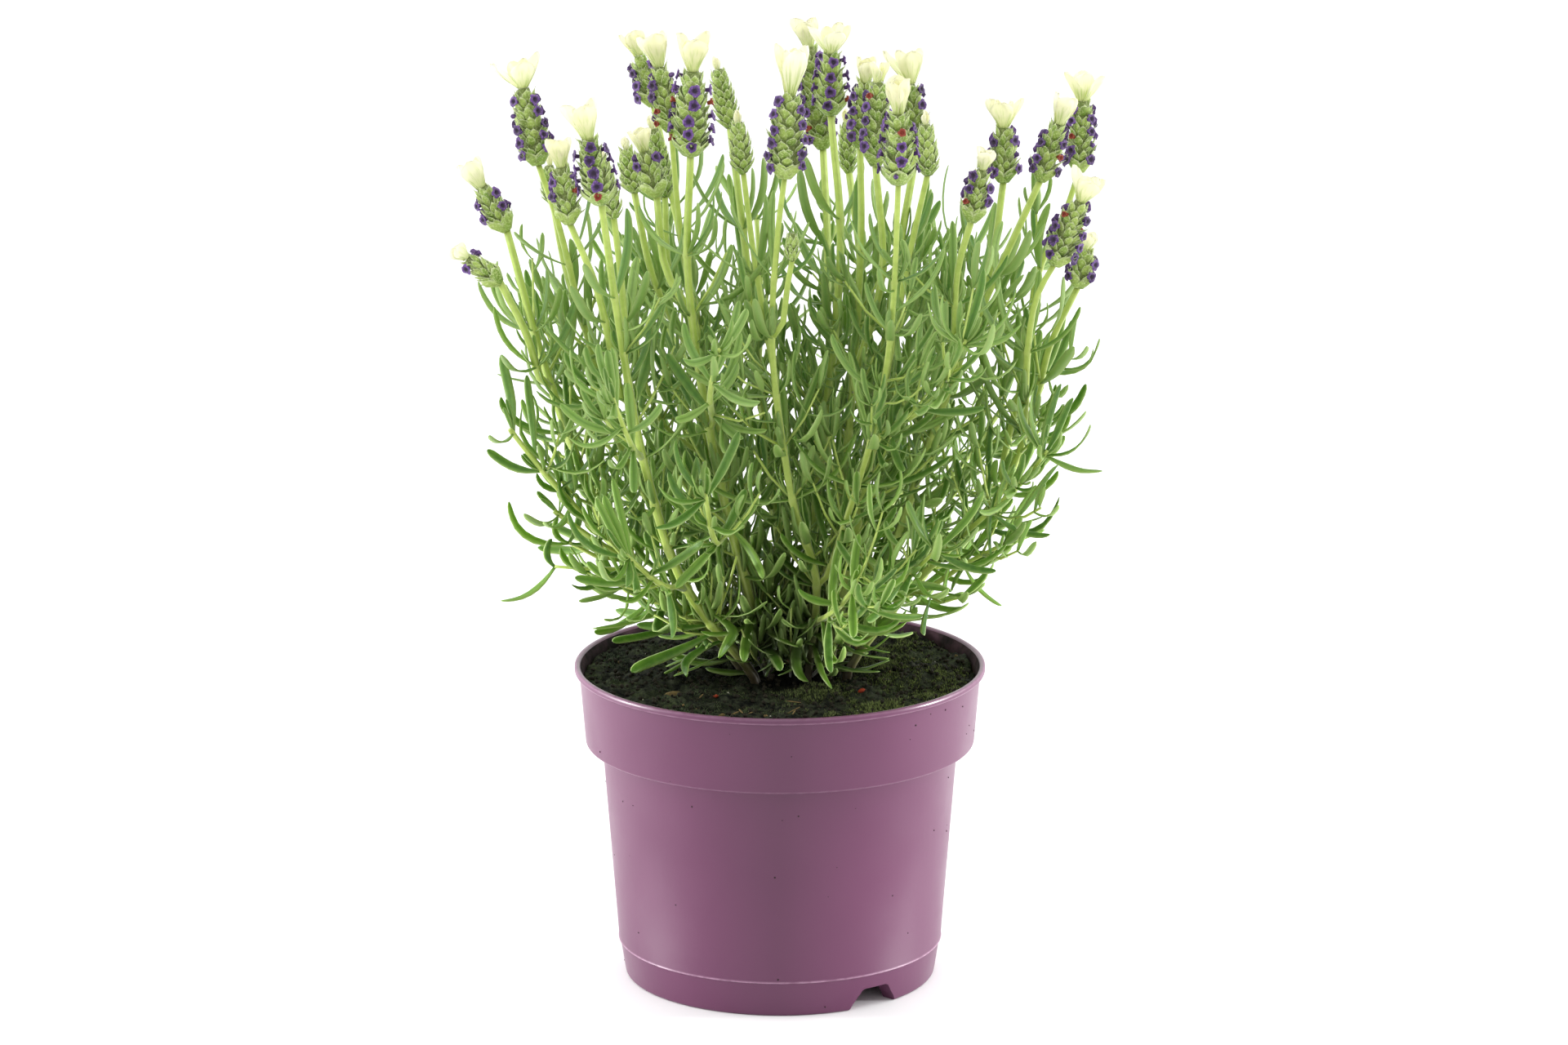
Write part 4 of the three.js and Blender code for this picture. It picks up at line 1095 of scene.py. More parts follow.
FOLIAGE_SEED = 311
TOUCH = -1.1
LONG_LEAF_NARROWING = 0.9
SHOOT_RADIUS = 0.75
SHOOT_BEND = 0.9
SHOOT_LENGTHS = (16, 38)
SHOOT_WIDTHS = (2.5, 3.6)
FIRST_PAIR = 6
PAIR_GAPS = (9.5, 13)
TUFT_LENGTHS = (9, 20)
TUFT_WIDTHS = (2, 2.8)
LONG_LENGTHS = (24, 42)
LEAF_GAPS = (8, 12)
STALK_DRESS_FOOT = 8
BACK_SHOOTS = 0.6
FRONT_SHOOTS = 0.34
FOOT_LOW = 13
FOOT_HIGH = 41
FOOT_STEP = 3.4
FOOT_LEAVES = 4
FOOT_LENGTHS = (20, 36)
FOOT_WIDTHS = (3.6, 5)
FOOT_SHOOTS_FROM = 24
CROWN_STEM = 7
CROWN_SHOOTS = 34
CROWN_SHOOT_Z = 129.6
OLD_LEAVES = 150
OLD_SPREAD = 20
OLD_HEIGHTS = (131, 150)
OLD_LENGTHS = (12, 20)


def hides_stem(points, line):
    """Whether points lie before a bare stalk or shown stem, as the camera sees it."""
    for number, path in sight_lines:
        if number != line:
            x, y, z = np.moveaxis(points[:, None] - path[None], -1, 0)
            height = z * math.cos(CAMERA_ELEVATION) + y * math.sin(CAMERA_ELEVATION)
            if ((np.abs(x) < SIGHT_HALF_WIDTH) & (np.abs(height) < SIGHT_HALF_HEIGHT) & (y < -1)).any():
                return True
    return False


def has_room(points, width, line=0):
    """Whether a leaf or shoot stays in the plant's outline, off the pot and clear of other growth."""
    x, y, z = points.T
    crown = z < CROWN_Z
    low = z < RIM_CLEAR_Z
    outside = (points < BOX_LOW + width / 2, points > BOX_HIGH - width / 2,
               x > np.interp(z, REACH_Z, REACH_RIGHT), x < np.interp(z, REACH_Z, REACH_LEFT),
               np.abs(x[crown] - CROWN_MIDDLE) > CROWN_WIDTH, y[crown] < CROWN_FRONT,
               z[low] < SOIL_CLEAR_Z, np.hypot(x[low], y[low]) > SOIL_CLEAR_RADIUS)
    if any(part.any() for part in outside) or hides_stem(points, line):
        return False
    return balls.clear(points[1:], width / 2, line, TOUCH)


def small_leaf(leaves, place, azimuth, opening, length, bend, width, draw, line, large=False):
    """A leaf, where there is room for it, that opens from its stalk by an angle in degrees."""
    leaf = leaf_line(place, azimuth, math.radians(opening), length, bend, width)
    points = leaf_points(leaf, LEAF_PROBES)
    if has_room(points, width, line):
        balls.add(points, width / 2, line)
        leaf_mesh(leaves, leaf, large, draw)


def long_leaf(leaves, place, azimuth, opening, length, bend, draw, line):
    width = leaf_width(length) - LONG_LEAF_NARROWING
    small_leaf(leaves, place, azimuth, opening, length, bend, width, draw, line, True)


def leafy_shoot(leaves, stalks, place, azimuth, opening, length, draw):
    """A short side shoot with pairs of leaves that get smaller towards its tip."""
    path = leaf_line(place, azimuth, math.radians(opening), length, SHOOT_BEND)
    line = Line(leaf_points(path, np.linspace(0, 1, 12)))
    if not has_room(line.points[3:], 2 * SHOOT_RADIUS):
        return
    number = Stalk.next_number()
    balls.add(line.points, SHOOT_RADIUS, number)
    pairs = []
    distance = FIRST_PAIR
    while distance < line.length:
        pairs.append(distance)
        distance += draw(*PAIR_GAPS)
    turn = draw(0, 3)
    stalk_mesh(stalks, line, SHOOT_RADIUS, SHOOT_RADIUS * 0.7, turn, sides=SHOOT_SIDES, step=SHOOT_STEP)
    for order, distance in enumerate([*pairs, line.length - 0.3]):
        at = line.smooth_place(distance)
        share = distance / line.length
        for side in (0, math.pi):
            small_leaf(leaves, at, turn + order * math.pi / 2 + side + draw(-0.3, 0.3),
                       mix(66, 26, share) + draw(-12, 12), mix(35, 17, share) * draw(0.75, 1.15),
                       draw(0.4, 1.3), draw(*SHOOT_WIDTHS), draw, number)


def dress_joints(leaves, stalks, stalk, draw):
    """Upright tufts in a stalk's joints, with side shoots low down, and long leaves at the last joint."""
    for joint, azimuth, _ in stalk.leaves:
        place = stalk.line.place(joint)
        thick = 1 - rise(place.point)
        for _ in range(2 + int(draw(0, 1.6))):
            small_leaf(leaves, place, azimuth + draw(-0.7, 0.7), draw(8, 40), draw(*TUFT_LENGTHS),
                       draw(0, 0.8), draw(*TUFT_WIDTHS), draw, stalk.number)
        if draw(0, 1) < 0.05 + 0.45 * thick:
            leafy_shoot(leaves, stalks, place, azimuth + draw(-0.5, 0.5), draw(36, 66),
                        draw(20, 28) + 20 * thick * draw(0.2, 1), draw)
    if stalk.joints:
        place = stalk.line.place(stalk.joints[-1])
        for side in range(STEM_SIDES):
            azimuth = face_azimuth(stalk.turn, side) + draw(-0.3, 0.3)
            long_leaf(leaves, place, azimuth, draw(24, 50), draw(26, 42), draw(0.4, 1.1), draw, stalk.number)


def dress_length(leaves, stalks, stalk, draw):
    """Long leaves and shoots all along a stalk, more where the plant is dense."""
    top = stalk.line.length - (BARE_PEDUNCLE if stalk.end else 4)
    distance = BARE_FOOT if stalk.low == STEM_LOW else STALK_DRESS_FOOT
    while distance < top:
        place = stalk.line.place(distance)
        thick = 1 - rise(place.point)
        azimuth = draw(0, TURN)
        shoots = BACK_SHOOTS if place.point[1] > 0 else FRONT_SHOOTS
        for side in (0, math.pi):
            if draw(0, 1) < 0.08 + 0.54 * thick:
                long_leaf(leaves, place, azimuth + side, mix(46, 78, thick) + draw(-12, 12),
                          draw(*LONG_LENGTHS), draw(0.4, 1.3), draw, stalk.number)
            if thick > 0.3 and draw(0, 1) < shoots * thick:
                leafy_shoot(leaves, stalks, place, azimuth + side + 1.5, draw(40, 74),
                            draw(*SHOOT_LENGTHS), draw)
        distance += draw(*LEAF_GAPS)


def dress_foot(leaves, stalks, stalk, draw):
    """Older leaves and short shoots that crowd a stem's foot and hang over the compost."""
    distance = FOOT_LOW
    while distance < FOOT_HIGH:
        place = stalk.line.place(distance)
        for _ in range(FOOT_LEAVES):
            small_leaf(leaves, place, draw(0, TURN), draw(50, 105), draw(*FOOT_LENGTHS), draw(-1, 0.3),
                       draw(*FOOT_WIDTHS), draw, stalk.number)
        if distance > FOOT_SHOOTS_FROM:
            leafy_shoot(leaves, stalks, place, draw(0, TURN), draw(40, 85), draw(*SHOOT_LENGTHS), draw)
        distance += FOOT_STEP


def crown_place(x, y, z):
    return place_at(np.array([CROWN[0] + x, CROWN[1] + y, z]), UP)


def dress_crown(leaves, stalks, draw):
    """Low shoots that lean out over the compost and hide the stems' feet, and old leaves among these."""
    for k in range(CROWN_SHOOTS):
        azimuth = TURN * k / CROWN_SHOOTS + draw(-0.15, 0.15)
        reach = draw(7, 24)
        foot = crown_place(reach * math.cos(azimuth), reach * math.sin(azimuth), CROWN_SHOOT_Z)
        leafy_shoot(leaves, stalks, foot, azimuth + draw(-0.6, 0.6), draw(20, 58), draw(18, 40), draw)
    for _ in range(OLD_LEAVES):
        _, x, y = scatter(draw, OLD_SPREAD)
        foot = crown_place(x, y, draw(*OLD_HEIGHTS))
        leaf = leaf_line(foot, draw(0, TURN), draw(0.3, 1.5), draw(*OLD_LENGTHS), draw(0, 1), draw(2.4, 3.6))
        leaf_mesh(leaves, leaf, False, draw)


# Leaves set one by one, by the stem that carries them: foot, bend, tip and width. Those at the sides
# draw the plant's outline, and the broad ones hang over the compost.
SET_LEAVES = {
    0: (
        (-87, 5, 230, -110, 0, 233, -114, -4, 247, 4.2), (-80, 4, 209, -95, -2, 207, -101, -6, 215, 3.8),
        (-87, -6, 186, -105, -8, 187, -113, -10, 204, 4.4), (-93, -7, 176, -102, -10, 165, -115, -12, 162, 4),
        (-64, 2, 176, -78, -4, 166, -86, -8, 168, 3.6), (-50, 2, 163, -68, -3, 148, -77, -6, 147, 3.8),
        (-87, -6, 186, -81, -6, 196, -84, -5, 207, 3.4), (-87, -6, 186, -94, -8, 189, -92, -9, 198, 3.2),
        (-87, -6, 186, -76, -8, 186, -72, -9, 199, 3.8), (-93, -7, 176, -98, -8, 180, -94, -8, 188, 3.2),
        (-47, 2, 161, -55, -16, 150, -42, -26, 157, 5), (-35, 2, 150, -60, -12, 152, -69, -20, 147, 4.2),
        (-43, 2, 157, -64, -6, 153, -77, -12, 150, 4.4),
    ),
    2: (
        (-26, -15, 151, -48, -22, 146, -61, -32, 138, 5.2), (-30, -17, 160, -8, -26, 158, -25, -30, 143, 5.2),
        (-22, -14, 147, -46, -24, 145, -37, -30, 136, 4.6),
    ),
    3: ((-12, -7, 158, -12, -22, 152, -15, -28, 141, 5),),
    7: ((13.5, -12, 156, 2, -22, 142, 12, -30, 134, 5),),
    13: (
        (108, -4, 258, 126, -6, 257, 132, -8, 272, 4.2), (103, -4, 241, 117, -7, 236, 126, -10, 254, 4.4),
        (101, -4, 231, 113, -1, 226, 119, 2, 241, 4.2), (91, -3, 207, 105, -6, 207, 114, -8, 217, 4),
        (81, -3, 194, 103, -8, 187, 116, -12, 206, 4.8), (71, -3, 184, 89, -9, 178, 102, -12, 193, 4.4),
        (62, -3, 175, 80, -11, 167, 88, -14, 179, 4.2), (54, -3, 165, 66, -8, 160, 76, -10, 160, 4),
    ),
}
SET_SHOOTS = {0: (((-64, 2, 176), (-72, -2, 178), (-82, -5, 182), (-87, -6, 186)),
                  ((-60, 2, 172), (-72, -3, 174), (-84, -6, 175), (-93, -7, 176)))}
SET_SHOOT_SIZES = (1.2, 0.8)
SET_SEED = 77


def set_leaves(leaves, stalks, index):
    draw = drawer(SET_SEED + index)
    for path in SET_SHOOTS.get(index, ()):
        stalk_mesh(stalks, curve_through(path), *SET_SHOOT_SIZES, 0.4)
    for *points, width in SET_LEAVES.get(index, ()):
        root, middle, tip = np.reshape(np.array(points, float), (3, 3))
        across = unit(np.cross((0, -0.45, 0.9), tip - root))
        length = float(np.linalg.norm(middle - root) + np.linalg.norm(tip - middle))
        leaf = Leaf(root, middle, tip, across, width, length)
        balls.add(leaf_points(leaf, LEAF_PROBES), width / 2)
        leaf_mesh(leaves, leaf, True, draw)


def keep_sight(stems):
    """Notes the stems and bare flower stalks that extra foliage keeps clear of."""
    sight_lines.extend((stems[index][0].number, stems[index][0].line.points) for index in SHOWN_STEMS)
    for one in (one for stalks in stems for one in stalks if one.end):
        bare = np.arange(one.line.length - SHOWN_PEDUNCLE, one.line.length, 2)
        sight_lines.append((None, np.array([one.line.place(distance).point for distance in bare])))


def make_foliage(index, stalks, skins, draw):
    """A stem's stalks and leaves, first those of its solid and then the extra ones."""
    leaves, bodies = Build(*LEAF_VALUES), Build(*STALK_VALUES)
    for one in stalks:
        stalk_mesh(bodies, one.line, one.low, one.high, one.turn, one.joints, one is stalks[0])
        for _, _, leaf in one.leaves:
            if leaf:
                leaf_mesh(leaves, leaf, True, draw)
    set_leaves(leaves, bodies, index)
    for one in stalks:
        dress_joints(leaves, bodies, one, draw)
        dress_length(leaves, bodies, one, draw)
    dress_foot(leaves, bodies, stalks[0], draw)
    if index == CROWN_STEM:
        dress_crown(leaves, bodies, draw)
    node = f"stem_{index + 1:02d}"
    bodies.piece(f"stalks_{index + 1:02d}", skins["stalk"], "foliage", node)
    leaves.piece(f"leaves_{index + 1:02d}", skins["leaf"], "foliage", node)


def make_head(one, skins, draw, bract_draw):
    axis = Axis(one.seat.point + one.seat.along * GAP, one.top, one.end["radius"])
    scales, florets, bracts = Build(*SCALE_VALUES), Build(*FLORET_VALUES), Build(*BRACT_VALUES)
    number = one.end["number"]
    spike_meshes(scales, florets, axis, number, draw)
    tuft_meshes(bracts, axis.end(GAP), one.end, bract_draw)
    scales.piece(f"spike_{number}", skins["calyx"], "flower_head", f"head_{number}")
    florets.piece(f"florets_{number}", skins["floret"], "flower_head", f"head_{number}")
    bracts.piece(f"tuft_{number}", skins["bract"], "bract", f"bracts_{number}")


def make_heads(index, stalks, skins, draw):
    """What ends a stem's stalks: full heads, and young ones that share one piece."""
    young, tips = Build(*SCALE_VALUES), Build(*BRACT_VALUES)
    bract_draw = drawer(BRACT_SEED + SEED_STEP * index)
    for one in (one for one in stalks if one.end):
        if one.end["number"]:
            make_head(one, skins, draw, bract_draw)
        else:
            low = one.seat.point - (one.top - one.seat.point) * BUD_SINK
            bud_meshes(young, tips, Axis(low, one.top, one.end["radius"]), draw)
    if young.count:
        young.piece(f"young_heads_{index + 1:02d}", skins["calyx"], "flower_head")
        tips.piece(f"young_tips_{index + 1:02d}", skins["bract"], "bract")


def make_plant():
    skins = dict(leaf=leaf_material(), stalk=stalk_material(), calyx=calyx_material(),
                 floret=floret_material(), bract=bract_material())
    stems = grow_plant()
    keep_sight(stems)
    for index, stalks in enumerate(stems):
        draw = drawer(FOLIAGE_SEED + SEED_STEP * index)
        make_foliage(index, stalks, skins, draw)
        make_heads(index, stalks, skins, draw)


# The pot: a profile from the middle of its underside, over its foot, wall and lip, and down inside.
# A point's third number is the radius that rounds it.
HUB = 0.4
INNER_WALL_LOW = WALL_LOW_RADIUS - LEDGE - WALL
POT_PROFILE = (
    (HUB, FLOOR_Z), (FOOT_RADIUS - FOOT_RING, FLOOR_Z, 0.6), (FOOT_RADIUS - FOOT_RING, 0, 0.6),
    (FOOT_RADIUS - 0.4, 0, 1.4), (WALL_LOW_RADIUS - LEDGE, LEDGE_Z - LEDGE, 0.12),
    (WALL_LOW_RADIUS + 0.3, LEDGE_Z + 0.1, 0.12), (WALL_LOW_RADIUS + 0.05, LEDGE_Z + 0.9),
    (WALL_TOP_RADIUS, COLLAR_LOW_Z, 0.5), (COLLAR_LOW_RADIUS, COLLAR_LOW_Z, 1),
    (COLLAR_TOP_RADIUS, COLLAR_TOP_Z, 0.4), (LIP_RADIUS, COLLAR_TOP_Z + 0.3, 0.9),
    (LIP_RADIUS, POT_HEIGHT, 1.2), (LIP_INNER_RADIUS, POT_HEIGHT, 0.9),
    (COLLAR_TOP_RADIUS - WALL, COLLAR_TOP_Z), (COLLAR_LOW_RADIUS - WALL, COLLAR_LOW_Z + WALL, 0.8),
    (WALL_TOP_RADIUS - WALL, COLLAR_LOW_Z + WALL, 0.8), (INNER_WALL_LOW, FLOOR_TOP_Z, 1), (HUB, FLOOR_TOP_Z),
)
ROUND_STEPS = 5
# How pale the highlight lines painted on the edges are: the ledge, the lip's underside (partly a real
# moulding flash line), its top and the collar's lower edge
LEDGE_HIGHLIGHT = 0.5
BRIM_FLASH_AND_HIGHLIGHT = 0.2
EDGE_HIGHLIGHT = 0.12
SHARP_ANGLE = math.radians(32)
# The cutters: foot notches, by angle, with half widths in degrees, and drain holes
NOTCH_ANGLES = (36.9, 216.9)
NOTCH_HEIGHT = 9
NOTCH_SIDE = ((11.1, -1), (10.2, 1), (9.4, 2.6), (6.6, NOTCH_HEIGHT * 0.78), (5.8, NOTCH_HEIGHT * 0.93),
              (4.6, NOTCH_HEIGHT))
NOTCH_RADII = (57, 71)
DRAIN_COUNT = 4
DRAIN_RADIUS = 5
DRAIN_CIRCLE = 44
DRAIN_SIDES = 32


def rounded(points):
    """A profile with those corners rounded that carry a radius."""
    made = []
    for k, (radius, z, *soft) in enumerate(points):
        here = np.array([radius, z], float)
        if soft:
            ways = [np.array(points[n][:2], float) - here for n in (k - 1, k + 1)]
            start, stop = (here + unit(way) * min(soft[0], np.linalg.norm(way) / 2.1) for way in ways)
            for t in np.linspace(0, 1, ROUND_STEPS):
                made.append((1 - t) ** 2 * start + 2 * t * (1 - t) * here + t * t * stop)
        else:
            made.append(here)
    return np.array(made)


def notch_cutter(angle):
    """A foot notch's sloping cheeks, flat top and rounded corners, from the inside out."""
    other_side = [(-half, z) for half, z in NOTCH_SIDE]
    ring = [(math.radians(angle + half), z) for half, z in (other_side[0], *NOTCH_SIDE, *other_side[:0:-1])]
    return np.array([[(radius * math.sin(turn), -radius * math.cos(turn), z) for turn, z in ring]
                     for radius in NOTCH_RADII])


def cut_holes(pot):
    """Cuts the notches and drain holes out of the pot's mesh."""
    cuts = Build()
    for angle in NOTCH_ANGLES:
        cuts.tube(notch_cutter(angle))
    ends = np.array([[FLOOR_Z - 1], [FLOOR_TOP_Z + 1]])
    for turn in TURN * (np.arange(DRAIN_COUNT) + 0.5) / DRAIN_COUNT:
        x, y = DRAIN_CIRCLE * math.cos(turn), DRAIN_CIRCLE * math.sin(turn)
        cuts.tube(circle(DRAIN_SIDES, DRAIN_RADIUS, ends, x, y))
    cutter = add_object("pot_cuts", cuts.mesh("pot_cuts"))
    cut = pot.modifiers.new("cut", "BOOLEAN")
    cut.object = cutter
    cut.operation = "DIFFERENCE"
    cut.solver = "EXACT"
    bpy.context.view_layer.update()
    made = bpy.data.meshes.new_from_object(pot.evaluated_get(bpy.context.evaluated_depsgraph_get()))
    pot.modifiers.clear()
    pot.data = made
    made.name = "pot_shell"
    made.shade_smooth()
    made.set_sharp_from_angle(angle=SHARP_ANGLE)
    bpy.data.objects.remove(cutter)


def make_pot():
    profile = rounded(POT_PROFILE)
    radius, z = profile.T
    ledge = (np.abs(z - LEDGE_Z) < 0.45) & (radius > WALL_LOW_RADIUS)
    brim = (np.abs(z - COLLAR_TOP_Z - 0.5) < 0.35) & (radius > LIP_RADIUS - 0.5)
    edge = (z > POT_HEIGHT - 0.9) & (radius > LIP_INNER_RADIUS)
    edge |= (np.abs(z - COLLAR_LOW_Z) < 0.6) & (radius > COLLAR_LOW_RADIUS - 0.8)
    # pale lines painted as highlights on the edges; the one under the lip is partly a real moulding flash
    edge_highlight = LEDGE_HIGHLIGHT * ledge + BRIM_FLASH_AND_HIGHLIGHT * brim + EDGE_HIGHLIGHT * edge
    build = Build("line")
    build.tube(circle(POT_SIDES, profile[:, :1], profile[:, 1:]), line=edge_highlight[:, None])
    pot = build.piece("pot_shell", pot_material(), "pot_plastic", "pot")
    pot.data.materials.append(stain_and_shade_material())
    inside = (np.arange(len(profile)) > z.argmax()) & (radius < LIP_INNER_RADIUS - 0.2)
    skin = np.zeros(len(pot.data.polygons), np.int32)
    skin[:(len(profile) - 1) * POT_SIDES] = np.repeat(inside[:-1] & inside[1:], POT_SIDES)
    pot.data.polygons.foreach_set("material_index", skin)
    cut_holes(pot)


# The pot's outer wall, from the top band down: low and high ends, and the radius at each
WALL_BANDS = (
    (COLLAR_LOW_Z, COLLAR_TOP_Z, COLLAR_LOW_RADIUS, COLLAR_TOP_RADIUS),
    (LEDGE_Z, COLLAR_LOW_Z, WALL_LOW_RADIUS, WALL_TOP_RADIUS),
    (0, LEDGE_Z, FOOT_RADIUS, WALL_LOW_RADIUS - LEDGE),
)
SPECKS = 90
SPECK_SIZES = (0.2, 0.5)
SPECK_SEED = 19


def wall_radius(z):
    low, high, foot, top = next(band for band in WALL_BANDS if z > band[0])
    return mix(foot, top, (z - low) / (high - low))


def make_specks():
    """Crumbs of compost that stick to the outside of the pot."""
    draw = drawer(SPECK_SEED)
    specks = Build()
    for _ in range(SPECKS):
        z = draw(3, POT_HEIGHT - 5)
        turn = draw(0, TURN)
        out = np.array([math.cos(turn), math.sin(turn), 0])
        size = draw(*SPECK_SIZES)
        root = out * (wall_radius(z) - size * 0.5) + UP * z
        crumb_mesh(specks, root, unit(out + UP * draw(-0.5, 0.5)), size, size)
    specks.piece("pot_specks", crumb_material("speck", (30, 22, 24), (60, 44, 46)), "compost")


# The compost's top: the solid's low waves, noise by its scale and size, and a hollow at the front left
SOIL_BUMP = 1.1
CLOD_WIDE = 0.12
CLOD_FINE = 0.19
SOIL_NOISE = ((0.09, 1.8), (0.2, 1.8), (0.5, 1.3))
HOLLOW = (-14, -24)
HOLLOW_DEPTH = 2.2
HOLLOW_SPREAD = 260
EDGE_DIP = 0.8
EDGE_WIDTH = 2.5
SOIL_SIDES = 240
SOIL_RING_GAP = 0.84
SOIL_SEED = 57
MOSS_COUNT = 17000
MOSS_RADIUS = 78.5
MOSS_BARE_RADIUS = 20
MOSS_THICK = 0.26
CRUMBS = 1500
CRUMB_RADIUS = 79
CRUMB_SIZES = (0.35, 1.1)
PERLITE_SIZE = 0.6
PERLITE_EVERY = 60
BIT_EVERY = 40
# Loose bits on the compost: where, which way, radius, length, and whether it is a fallen petal
LITTER = (
    (-28, -36, (1, 0.2, 0.3), 0.9, 3.2, True), (-26.5, -37.5, (0.3, -1, 0.3), 0.8, 2.6, True),
    (32, -34, (1, 0.5, 0.3), 0.9, 3.4, True), (-48, -30, (1, 0.15, 0.1), 1.8, 8, False),
    (-33, -40, (0.6, 1, 0.4), 0.35, 3.2, False), (-13, -64, (0.8, -0.5, 0.5), 0.35, 2.8, False),
    (5, -64, (0.5, 1, 0.6), 0.35, 3.4, False), (-36, -52, (1, -0.4, 0.3), 0.35, 2.6, False),
    (-20, -66, (1, 0.6, 0.3), 0.4, 4.2, False), (-15, -67, (-0.6, 1, 0.4), 0.4, 3.4, False),
    (3, -67, (1, 0.1, 0.5), 0.25, 6, False), (9, -48, (-1, -0.6, 0.3), 0.25, 8, False),
)


def scatter(draw, reach):
    """An evenly drawn spot in a circle: its distance from the middle, x and y."""
    r, a = reach * math.sqrt(draw(0, 1)), draw(0, TURN)
    return r, r * math.cos(a), r * math.sin(a)


def noise_at(x, y, scale, layer):
    return noise.noise(Vector((x * scale, y * scale, layer)))


def soil_height(x, y):
    wide = math.sin(x * CLOD_WIDE + 1) * math.cos(y * CLOD_WIDE)
    fine = math.sin((x / 3 - y) * CLOD_FINE + 2)
    height = SOIL_Z + SOIL_BUMP * (wide + fine / 2)
    for scale, size in SOIL_NOISE:
        height += size * noise_at(x, y, scale, 7 * scale)
    return height - HOLLOW_DEPTH * math.exp(-((x - HOLLOW[0]) ** 2 + (y - HOLLOW[1]) ** 2) / HOLLOW_SPREAD)


def on_soil(x, y, lift):
    return np.array([x, y, soil_height(x, y) + lift])


def make_soil():
    low_wall = INNER_WALL_LOW - GAP
    ledge_z = COLLAR_LOW_Z + WALL + GAP
    rows = ((low_wall - 2, FLOOR_TOP_Z + GAP), (low_wall, FLOOR_TOP_Z + GAP + 1),
            (WALL_TOP_RADIUS - WALL - GAP, ledge_z), (COLLAR_LOW_RADIUS - WALL - GAP, ledge_z))
    rings = [circle(SOIL_SIDES, radius, z) for radius, z in rows]
    edge = wall_radius(SOIL_Z) - WALL - GAP
    for radius in np.append(np.arange(edge, 1, -SOIL_RING_GAP), 0.5):
        ring = circle(SOIL_SIDES, radius, 0)
        ring[:, 2] = [soil_height(x, y) for x, y, _ in ring]
        ring[:, 2] -= EDGE_DIP * smooth((radius - edge + EDGE_WIDTH) / EDGE_WIDTH)
        rings.append(ring)
    rings = np.array(rings)
    build = Build("dark")
    # dark: painted shadow of the plant on the compost round the crown's middle
    build.tube(rings, dark=0.75 * smooth((26 - np.hypot(rings[..., 0], rings[..., 1])) / 14))
    build.piece("compost", soil_material(), "compost", "soil")


def make_moss(draw):
    """Short spikes in cushions, more of them towards the right, and none under the crown."""
    roots, tips, tones = [], [], []
    while len(roots) < MOSS_COUNT:
        r, x, y = scatter(draw, MOSS_RADIUS)
        thick = noise_at(x, y, 0.05, 3) + 0.6 * noise_at(x, y, 0.22, 5) + 0.3 * smooth((x + 20) / 50) - 0.12
        if r < MOSS_BARE_RADIUS or draw(0, 0.5) > thick:
            continue
        root = on_soil(x, y, -0.2)
        tall = draw(0.5, 1.5) * (0.6 + thick) + 0.2
        roots.append(root)
        tips.append(root + (draw(-0.8, 0.8), draw(-0.8, 0.8), tall))
        tones.append(draw(0, 1) * min(1, 0.3 + 1.4 * thick))
    moss = Build("tone")
    moss.spikes(roots, tips, MOSS_THICK, tone=np.array(tones))
    moss.piece("compost_moss", moss_material(), "compost")


def make_litter(draw):
    """Crumbs all over the compost, with chips, perlite grains and fallen petals."""
    crumbs, bits, pale, petals = (Build() for _ in range(4))
    for k in range(CRUMBS):
        _, x, y = scatter(draw, CRUMB_RADIUS)
        out = unit(np.array([draw(-1, 1), draw(-1, 1), draw(0.1, 0.6)]))
        size = draw(*CRUMB_SIZES)
        target = pale if k % PERLITE_EVERY == 0 else bits if k % BIT_EVERY == 0 else crumbs
        if target is pale:
            size *= PERLITE_SIZE
        crumb_mesh(target, on_soil(x, y, 0.1), out, size, size * draw(1.6, 3.4 if target is bits else 2.2))
    for x, y, out, radius, length, petal in LITTER:
        bead_mesh(petals if petal else bits, on_soil(x, y, 0.5), unit(np.array(out, float)), radius, length)
    for build, name, skin, dark, light in (
            (crumbs, "compost_crumbs", "compost_crumb", (14, 12, 9), (48, 44, 30)),
            (bits, "compost_bits", "compost_bit", (50, 38, 22), (140, 120, 76)),
            (pale, "compost_perlite", "compost_pale", (150, 146, 130), (210, 206, 192)),
            (petals, "fallen_petals", "petal_brown", (96, 30, 14), (158, 60, 30))):
        build.piece(name, crumb_material(skin, dark, light), "compost")


def make_compost():
    draw = drawer(SOIL_SEED)
    make_soil()
    make_moss(draw)
    make_litter(draw)


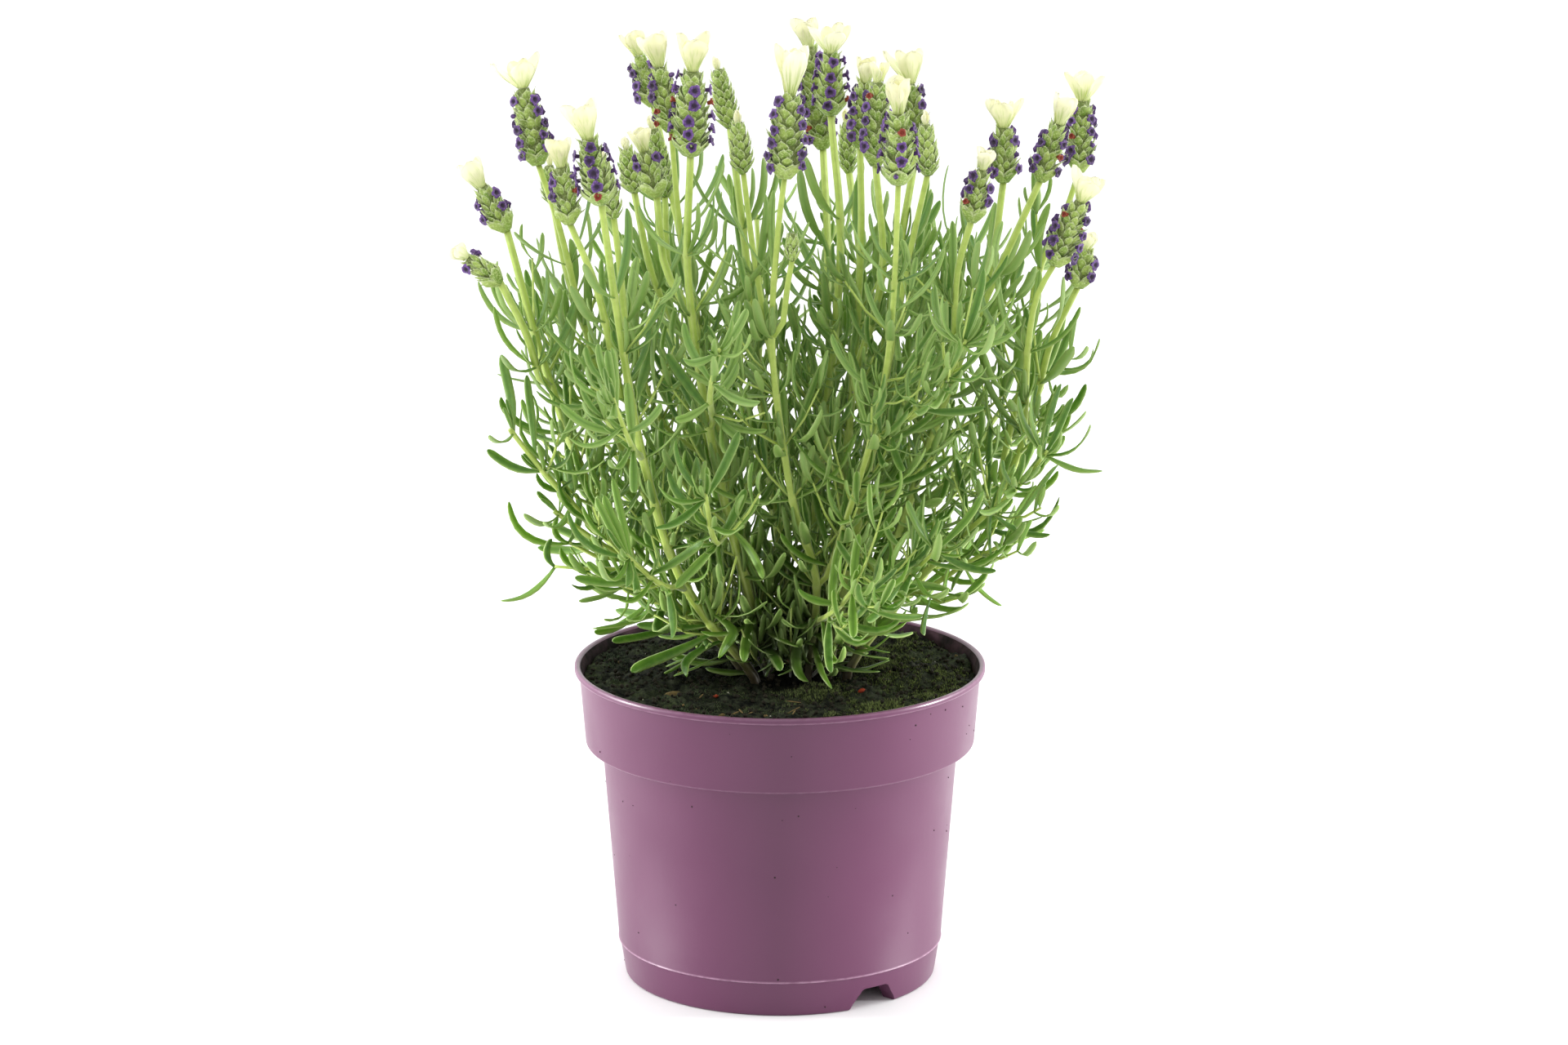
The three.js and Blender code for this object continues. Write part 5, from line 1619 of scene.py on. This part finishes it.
# Studio, in metres: four soft panels and two spots that put a pale band on each side of the pot
FLOOR_HALF = 10
FLOOR_COLOUR = (244, 244, 244)
PANEL_AIM = (0, 0, 0.2)
POT_AIM = (0, 0, 0.095)
SPOT = dict(spot_size=math.radians(20), spot_blend=0.8, shadow_soft_size=0.06)
SIDE_PANEL = dict(shape="RECTANGLE", size=0.8, size_y=1.4)
LIGHTS = (
    ("softbox_left", "AREA", (-1.2, 0.2, 0.5), PANEL_AIM, 10, SIDE_PANEL),
    ("softbox_right", "AREA", (1.2, 0.25, 0.5), PANEL_AIM, 10, SIDE_PANEL),
    ("pot_glow_left", "SPOT", (-1, -0.04, 0.15), POT_AIM, 46, SPOT),
    ("pot_glow_right", "SPOT", (1, -0.04, 0.15), POT_AIM, 46, SPOT),
    ("softbox_top", "AREA", (0.1, -0.5, 1.5), PANEL_AIM, 3, dict(shape="RECTANGLE", size=1.2, size_y=1)),
    ("softbox_back", "AREA", (0, 1.2, 1.3), PANEL_AIM, 3, dict(shape="RECTANGLE", size=1.6, size_y=0.8)),
)


def make_floor():
    floor = bpy.data.meshes.new("floor")
    corners = [(x * FLOOR_HALF, y * FLOOR_HALF, 0) for x, y in ((-1, -1), (1, -1), (1, 1), (-1, 1))]
    floor.from_pydata(corners, [], [(0, 1, 2, 3)])
    matt = Shader("studio_floor", Roughness=0.9, Base_Color=paint(*FLOOR_COLOUR), Specular_IOR_Level=0.1)
    floor.materials.append(matt.material)
    add_object("studio_floor", floor)


def make_lights():
    for name, kind, at, aim, power, settings in LIGHTS:
        light = bpy.data.lights.new(name, kind)
        light.energy = power
        for key, value in settings.items():
            setattr(light, key, value)
        lamp = add_object(name, light)
        lamp.location = at
        lamp.rotation_euler = (Vector(aim) - Vector(at)).to_track_quat("-Z", "Y").to_euler()


def make_surround():
    """White all round, brighter behind the plant."""
    world = bpy.data.worlds.new("studio")
    world.use_nodes = True
    nodes = Nodes(world.node_tree)
    depth = nodes.node("SeparateXYZ", {0: nodes.node("TexCoord", {})}, 1)
    backdrop = world.node_tree.nodes["Background"]
    backdrop.inputs["Color"].default_value = (1, 1, 1, 1)
    nodes.link(nodes.span(depth, -0.2, 0.8, 0.97, 1.6), backdrop.inputs["Strength"])
    bpy.context.scene.world = world
    bpy.context.scene.view_settings.view_transform = "Standard"


def make_camera():
    lens = bpy.data.cameras.new("camera")
    lens.lens = CAMERA_LENS
    lens.sensor_width = CAMERA_SENSOR
    lens.dof.use_dof = False
    camera = add_object("camera", lens)
    back = Vector((0, -math.cos(CAMERA_ELEVATION), math.sin(CAMERA_ELEVATION))) * CAMERA_DISTANCE
    camera.location = (Vector(CAMERA_TARGET) + back) * MM
    camera.rotation_euler = (math.pi / 2 - CAMERA_ELEVATION, 0, 0)
    bpy.context.scene.camera = camera


make_camera()
make_floor()
make_lights()
make_surround()
make_pot()
make_specks()
make_compost()
make_plant()

bpy.context.view_layer.update()
